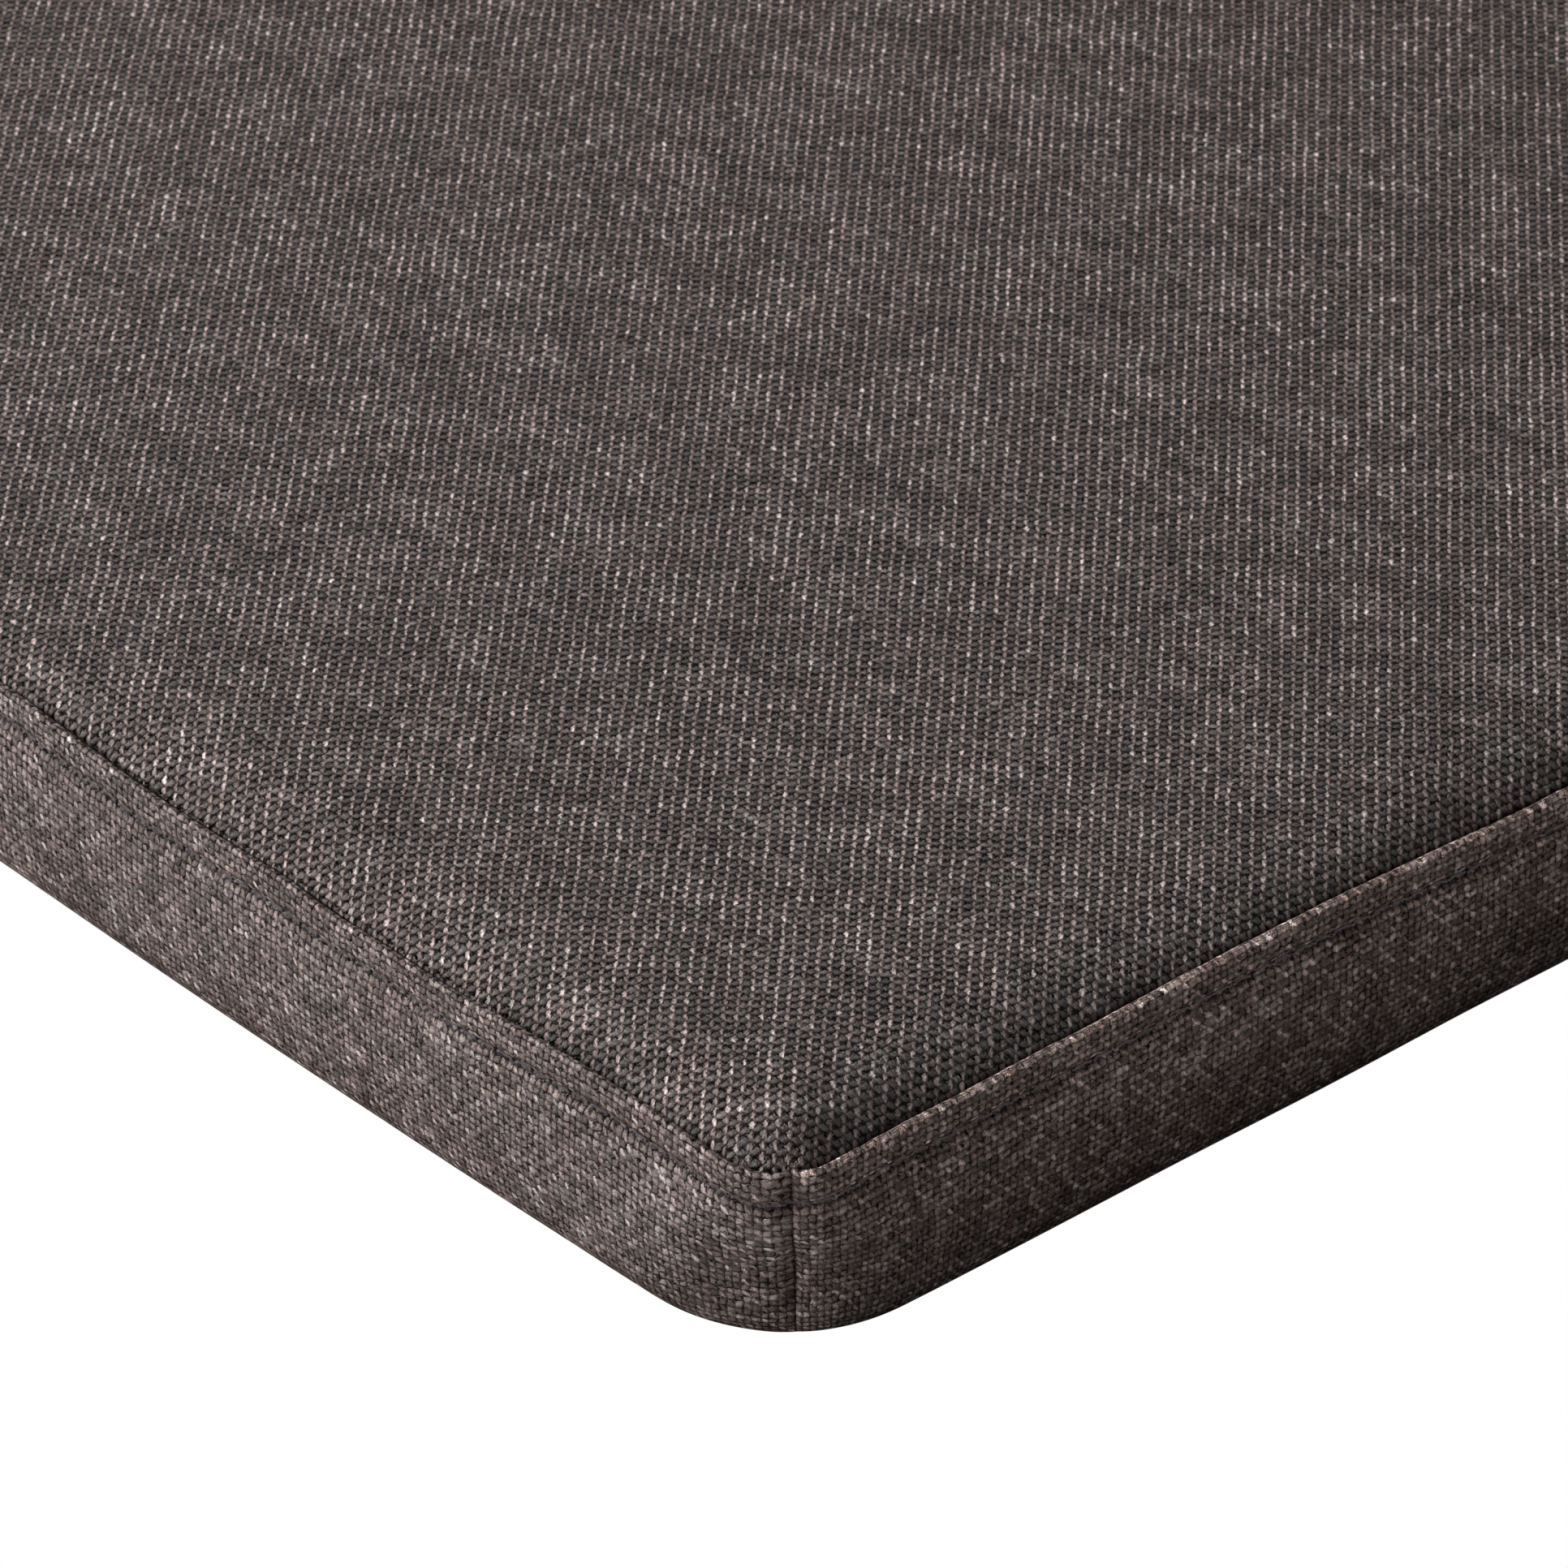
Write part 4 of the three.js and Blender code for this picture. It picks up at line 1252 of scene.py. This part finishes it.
# the upright seams: a thread buried behind the crease
for corner_name, side_name in (("front_right", "front"), ("back_right", "right"),
                               ("back_left", "back"), ("front_left", "left")):
    seam = "corner_seam_thread_" + corner_name
    seam_points, _ = wall_points(
        side_name, np.array([u_end(side_name) + 2.6]), np.linspace(7.0, 22.0, 41)
    ) if False else wall_points(
        side_name, np.array([u_end(side_name) + 2.6]), np.linspace(7.0, 22.0, 41))
    add_tubes(seam + "_run", seam_points[:, 0][None], 0.22, THREAD, seam)

for row_name, row_v in (("zip_stitch_upper", UPPER_EDGE - HEM_STITCH),
                        ("zip_stitch_lower", LOWER_EDGE + HEM_STITCH)):
    add_tubes(row_name + "_row", stitch_paths("back", row_v, out=-0.16, trim=6),
              0.19, THREAD, row_name)

# --------------------------------------------------------------------------
# zip: tapes and coils
# --------------------------------------------------------------------------
COIL_PITCH, COIL_WIRE, COIL_SEGMENTS = 1.5, 0.34, 12    # wire is a radius


def build_tape(node_name, upper, material):
    low, high = cad(node_name)
    x, z = np.meshgrid(np.linspace(low[0], high[0], 276), np.linspace(high[2], low[2], 18))
    from_inner = (z - low[2]) if upper else (high[2] - z)
    # a raised cord at the inner edge, ribs along the tape, a slight wave
    y = high[1] - 0.10 + 0.09 * bell(from_inner, 0.5, 0.35)
    y = y + 0.025 * np.cos(from_inner * 2 * math.pi / 0.9) + 0.03 * noise(x / 23.0, z / 6.0, 201)
    # columns run towards -x, so that the outer face looks to +y
    points = np.stack([x, y, z], -1)[:, ::-1]
    cloth = np.stack([points[..., 0], points[..., 2], 0 * points[..., 0]], -1)
    add_sheet(node_name, points, cloth, 0.45, material, "zip_tape")


def build_coil(node_name, upper, material):
    low, high = cad(node_name)
    turns = int((high[0] - low[0] - 2 * COIL_WIRE) / COIL_PITCH)
    angle = np.arange(turns * COIL_SEGMENTS + 1) / COIL_SEGMENTS * 2 * math.pi
    middle = (low + high) / 2
    half = (high - low) / 2 - COIL_WIRE

    def boxed(wave):
        """A wave with fuller turns, so that each loop is squarer than a circle."""
        return np.sign(wave) * np.abs(wave) ** 0.8

    # the lower coil sits half a pitch on
    x = low[0] + COIL_WIRE + angle / (2 * math.pi) * COIL_PITCH + (0.0 if upper else COIL_PITCH / 2)
    y = middle[1] + half[1] * boxed(np.sin(angle))
    z = middle[2] - (1.0 if upper else -1.0) * half[2] * boxed(np.cos(angle))
    # each turn leans a little
    path = np.stack([x + 0.12 * np.sin(angle), y, z], 1)[x < high[0] - COIL_WIRE]
    add_tubes(node_name + "_helix", path[None], COIL_WIRE, material, node_name)


TAPE = tape_material("zip_tape_cloth")
build_tape("zip_tape_upper", True, TAPE)
build_tape("zip_tape_lower", False, TAPE)
COIL = coil_material("coil_nylon")
build_coil("zip_coil_upper", True, COIL)
build_coil("zip_coil_lower", False, COIL)

# --------------------------------------------------------------------------
# base panel and its grip dots
# --------------------------------------------------------------------------
# inset, z
BASE_ROWS = [
    (22.0, 0.50), (18.0, 0.50), (15.0, 0.50), (13.4, 0.55), (12.6, 0.75), (12.2, 1.15),
    (12.1, 1.6), (12.3, 1.95), (12.8, 1.9), (13.8, 1.6), (16.0, 1.45), (22.0, 1.4),
]
DOT_RADIUS, DOT_PITCH, DOT_SIDES, DOT_MARGIN = 1.25, 7.6, 10, 20
# share of the radius, z; from the cloth down to the tip
DOT_PROFILE = [(1.0, 0.62), (1.0, 0.40), (0.93, 0.20), (0.75, 0.08), (0.42, 0.02)]


def build_base_panel():
    vertices, faces = ring_body(BASE_ROWS, corner=24.3, band=26.0, step=3.0)
    x, y, z = vertices.T
    wave = 0.10 * fbm(x / 40.0, y / 33.0, 91, 2) + 0.05
    vertices[:, 2] += np.where(z < 0.6, wave, 0)
    make_mesh("base_panel_cloth", vertices, faces, base_material("grip_cloth"),
              np.stack([x, y, 0 * x + 5], 1), "base_panel")


def build_grip_dots():
    """Rubber dots under the base cloth, in a staggered grid."""
    depth = 2 * HALF_Y - 2 * DOT_MARGIN
    row_count = int(depth / (DOT_PITCH * 0.866))
    centres = []
    for r in range(row_count + 1):
        stagger = 0.5 * DOT_PITCH * (r % 2)
        x = np.arange(-HALF_X + DOT_MARGIN + stagger, HALF_X - DOT_MARGIN + 1e-6, DOT_PITCH)
        y = -HALF_Y + DOT_MARGIN + r * depth / row_count
        centres.append(np.stack([x, 0 * x + y, 0 * x], 1))
    centres = np.concatenate(centres)
    angles = np.arange(DOT_SIDES) / DOT_SIDES * 2 * math.pi
    dot = [[DOT_RADIUS * share * math.cos(a), DOT_RADIUS * share * math.sin(a), z]
           for share, z in DOT_PROFILE for a in angles]
    dot = np.array(dot + [[0, 0, 0.01], [0, 0, 0.62]])
    dot_faces = []
    for k in range(len(DOT_PROFILE) - 1):
        for j in range(DOT_SIDES):
            a, b = k * DOT_SIDES + j, k * DOT_SIDES + (j + 1) % DOT_SIDES
            dot_faces.append((a, a + DOT_SIDES, b + DOT_SIDES, b))
    tip = len(DOT_PROFILE) * DOT_SIDES
    last = tip - DOT_SIDES
    dot_faces += [(tip, last + (j + 1) % DOT_SIDES, last + j) for j in range(DOT_SIDES)]
    dot_faces += [(tip + 1, j, (j + 1) % DOT_SIDES) for j in range(DOT_SIDES)]
    vertices = (dot[None] + centres[:, None, :]).reshape(-1, 3)
    faces = [tuple(i + k * len(dot) for i in face)
             for k in range(len(centres)) for face in dot_faces]
    make_mesh("base_grip_dots", vertices, faces, RUBBER, np.repeat(centres, len(dot), 0))


build_base_panel()
build_grip_dots()

# --------------------------------------------------------------------------
# foam layers and wadding
# --------------------------------------------------------------------------


def clear_zip(vertices, y_max):
    """Squeezes the back of a layer so that it stays clear of the zip."""
    y_from = 60.0
    y = vertices[:, 1]
    squeezed = y_from + (y - y_from) * (y_max - y_from) / (y.max() - y_from)
    vertices[:, 1] = np.where(y > y_from, squeezed, y)


def build_foam(node_name, rounded, material):
    """A foam block; rounded gives it a wide round lower edge."""
    low, high = cad(node_name)
    inset, bottom, top = HALF_X - high[0], low[2], high[2]
    # inset, height above the bottom
    if rounded:
        lower = [(26.0, 0.2), (18.0, 0.2), (11.5, 0.25), (8.2, 0.9), (5.6, 2.3), (4.2, 4.2),
                 (3.5, 6.5), (inset, 8.5)]
    else:
        lower = [(26.0, 0.1), (14.0, 0.1), (5.0, 0.1), (inset + 0.4, 0.15), (inset + 0.1, 0.6),
                 (inset, 3.0), (inset, top - 4.0 - bottom)]
    # inset, depth below the top
    upper = [(inset, 2.0), (inset + 0.15, 0.6), (inset + 0.5, 0.12), (5.5, 0.08), (14.0, 0.06),
             (26.0, 0.06)]
    rows = [(d, bottom + z) for d, z in lower] + [(d, top - z) for d, z in upper]
    vertices, faces = ring_body(rows, corner=24.0, band=28.0, step=4.0)
    # knife marks: the cut edges ripple slightly
    x, y, z = vertices.T
    ripple = 0.10 * noise((x + y) / 9.0, z / 2.5, 301) - 0.12
    cut = (z > bottom + 0.5) & (z < top - 0.5)
    stretch = np.where(cut, ripple / np.maximum(np.hypot(x, y), 1), 0)
    vertices[:, :2] += stretch[:, None] * vertices[:, :2]
    clear_zip(vertices, high[1] - 0.2)
    make_mesh(node_name + "_block", vertices, faces, material, vertices, node_name)


def build_wadding():
    low, high = cad("wadding_sheet")
    inset, bottom = HALF_X - high[0], low[2]
    rows = [(26.0, 0.15), (12.0, 0.15), (inset + 1.2, 0.2), (inset + 0.5, 0.5),
            (inset + 0.6, 1.1), (inset + 1.6, 1.9), (inset + 4.0, 2.8), (12.0, 3.6), (26.0, 4.1)]
    vertices, faces = ring_body([(d, bottom + z) for d, z in rows],
                                corner=17.0, band=28.0, step=4.0)
    x, y, z = vertices.T
    tufts = 0.25 * fbm(x / 14.0, y / 14.0, 401, 3)
    vertices[:, 2] += np.where(z > bottom + 1.0, tufts, 0)
    clear_zip(vertices, high[1] - 0.2)
    make_mesh("wadding_fleece", vertices, faces, wadding_material("polyester_wadding"), vertices,
              "wadding_sheet")


build_foam("foam_base_layer", True,
           foam_material("firm_foam_cells", (0.20, 0.19, 0.18), cell=0.9))
build_foam("foam_comfort_layer", False,
           foam_material("soft_foam_cells", (0.52, 0.47, 0.36), cell=0.7))
build_wadding()

# --------------------------------------------------------------------------
# materials of the CAD parts that stay
# --------------------------------------------------------------------------


def dress_cad(node_name, material):
    """Gives a CAD part one material; its entry may name the object."""
    entry = NODES.get(node_name)
    named = isinstance(entry, dict) and "object" in entry
    materials = bpy.data.objects[entry["object"] if named else node_name].data.materials
    materials.clear()
    materials.append(material)


METAL = metal_material("painted_zip_metal")
for part in ("zip_slider_body", "zip_pull_tab", "zip_top_stop_upper", "zip_top_stop_lower",
             "zip_bottom_stop"):
    dress_cad(part, METAL)
SEAM_THREAD = thread_material("seam_thread", tube=False)
for part in ("top_seam_thread", "base_seam_thread"):
    dress_cad(part, SEAM_THREAD)

# --------------------------------------------------------------------------
# camera, lights, world and floor, in metres
# --------------------------------------------------------------------------
SCENE = bpy.context.scene
WHITE = (1, 1, 1)
CAMERA_AZIMUTH, CAMERA_ELEVATION = math.radians(48.252), math.radians(32.611)
CAMERA_PLACE = (0.863672, -0.718276, 0.629940)
CAMERA_LENS = 220.9080745       # mm, on a 36 mm sensor
LAMP_TARGET = Vector((0.12, -0.06, 0.0))
BOUNCE_OUT, BOUNCE_Z = 0.56, 0.002      # bounce lights: out from the walls, above the floor
FLOOR_HALF, FLOOR_Z = 6.0, -0.0003


def aim(obj, direction):
    obj.rotation_euler = direction.to_track_quat("-Z", "Y").to_euler()


def build_camera():
    data = bpy.data.cameras.new("camera")
    camera = add_object("camera", data)
    data.sensor_width = 36
    data.sensor_fit = "HORIZONTAL"
    data.lens = CAMERA_LENS
    data.clip_start = 0.01
    data.clip_end = 50
    camera.location = CAMERA_PLACE
    level = math.cos(CAMERA_ELEVATION)
    aim(camera, Vector((-math.sin(CAMERA_AZIMUTH) * level, math.cos(CAMERA_AZIMUTH) * level,
                        -math.sin(CAMERA_ELEVATION))))
    # the focus stays on the pad, near its front right corner, from wherever it is seen
    focus = add_object("focus_point", None)
    focus.location = (HALF_X * MM * 0.9, -HALF_Y * MM * 0.9, TOP * MM)
    data.dof.use_dof = True
    data.dof.focus_object = focus
    data.dof.aperture_fstop = 125
    SCENE.camera = camera


def area_light(name, place, target, size, energy, color):
    """A round area light, hidden from the camera."""
    data = bpy.data.lights.new(name, "AREA")
    data.shape = "DISK"
    data.size = size
    data.energy = energy
    data.color = color
    light = add_object(name, data)
    light.location = place
    light.visible_camera = False
    aim(light, Vector(target) - Vector(place))


def lamp(name, direction, distance, size, energy, color=WHITE):
    """A light in a direction from the lamp target, aimed back at it."""
    place = LAMP_TARGET + Vector(direction).normalized() * distance
    area_light(name, place, LAMP_TARGET, size, energy, color)


def bounce(name, x, y, energy, color):
    """The white table throws light back up at a wall."""
    area_light(name, (x, y, BOUNCE_Z), (x, y, 1.0), 1.0, energy, color)


def build_world():
    """White to the camera, a dim warm fill to everything else."""
    world = bpy.data.worlds.new("studio")
    SCENE.world = world
    world.use_nodes = True
    tree = world.node_tree
    tree.nodes.clear()
    output = tree.nodes.new("ShaderNodeOutputWorld")
    seen = node(tree, "Background", {0: (1, 1, 1, 1), 1: 1.0})
    fill = node(tree, "Background", {0: (1, 0.99, 0.98, 1), 1: 0.22})
    camera_ray = node(tree, "LightPath", {}, "Is Camera Ray")
    feed(output, {0: node(tree, "MixShader", {0: camera_ray, 1: fill, 2: seen})})


def build_floor():
    """Grey to the light, pure white to the camera."""
    mesh = bpy.data.meshes.new("floor")
    corners = [(-1, -1), (1, -1), (1, 1), (-1, 1)]
    mesh.from_pydata([(x * FLOOR_HALF, y * FLOOR_HALF, FLOOR_Z) for x, y in corners],
                     [], [(0, 1, 2, 3)])
    floor = add_object("floor", mesh)
    material, tree, shader = new_material("floor_white")
    feed(shader, {"Base Color": (0.30, 0.30, 0.30, 1), "Roughness": 0.9,
                  "Specular IOR Level": 0.1})
    glow = node(tree, "Emission", {0: (1, 1, 1, 1), 1: 1.0})
    camera_ray = node(tree, "LightPath", {}, "Is Camera Ray")
    lit = Expr(tree, shader.outputs[0])
    output = next(n for n in tree.nodes if n.type == "OUTPUT_MATERIAL")
    feed(output, {0: node(tree, "MixShader", {0: camera_ray, 1: lit, 2: glow})})
    mesh.materials.append(material)


build_camera()
lamp("key", (-0.84, -0.36, 0.40), distance=3.2, size=0.64, energy=170, color=(1.0, 0.985, 0.975))
lamp("front", (-0.20, -0.96, 0.14), distance=2.6, size=0.78, energy=74, color=(1.0, 0.98, 0.965))
lamp("back", (-0.62, 0.36, 0.60), distance=1.8, size=0.30, energy=6)
bounce("bounce_back", 0.0, HALF_Y * MM + BOUNCE_OUT, energy=10.0, color=(1.0, 0.96, 0.92))
bounce("bounce", HALF_X * MM + BOUNCE_OUT, -0.10, energy=9.0, color=(1.0, 0.94, 0.88))
build_world()
build_floor()

SCENE.view_settings.view_transform = "Standard"
SCENE.view_settings.look = "None"
SCENE.view_settings.exposure = 0
SCENE.view_settings.gamma = 1
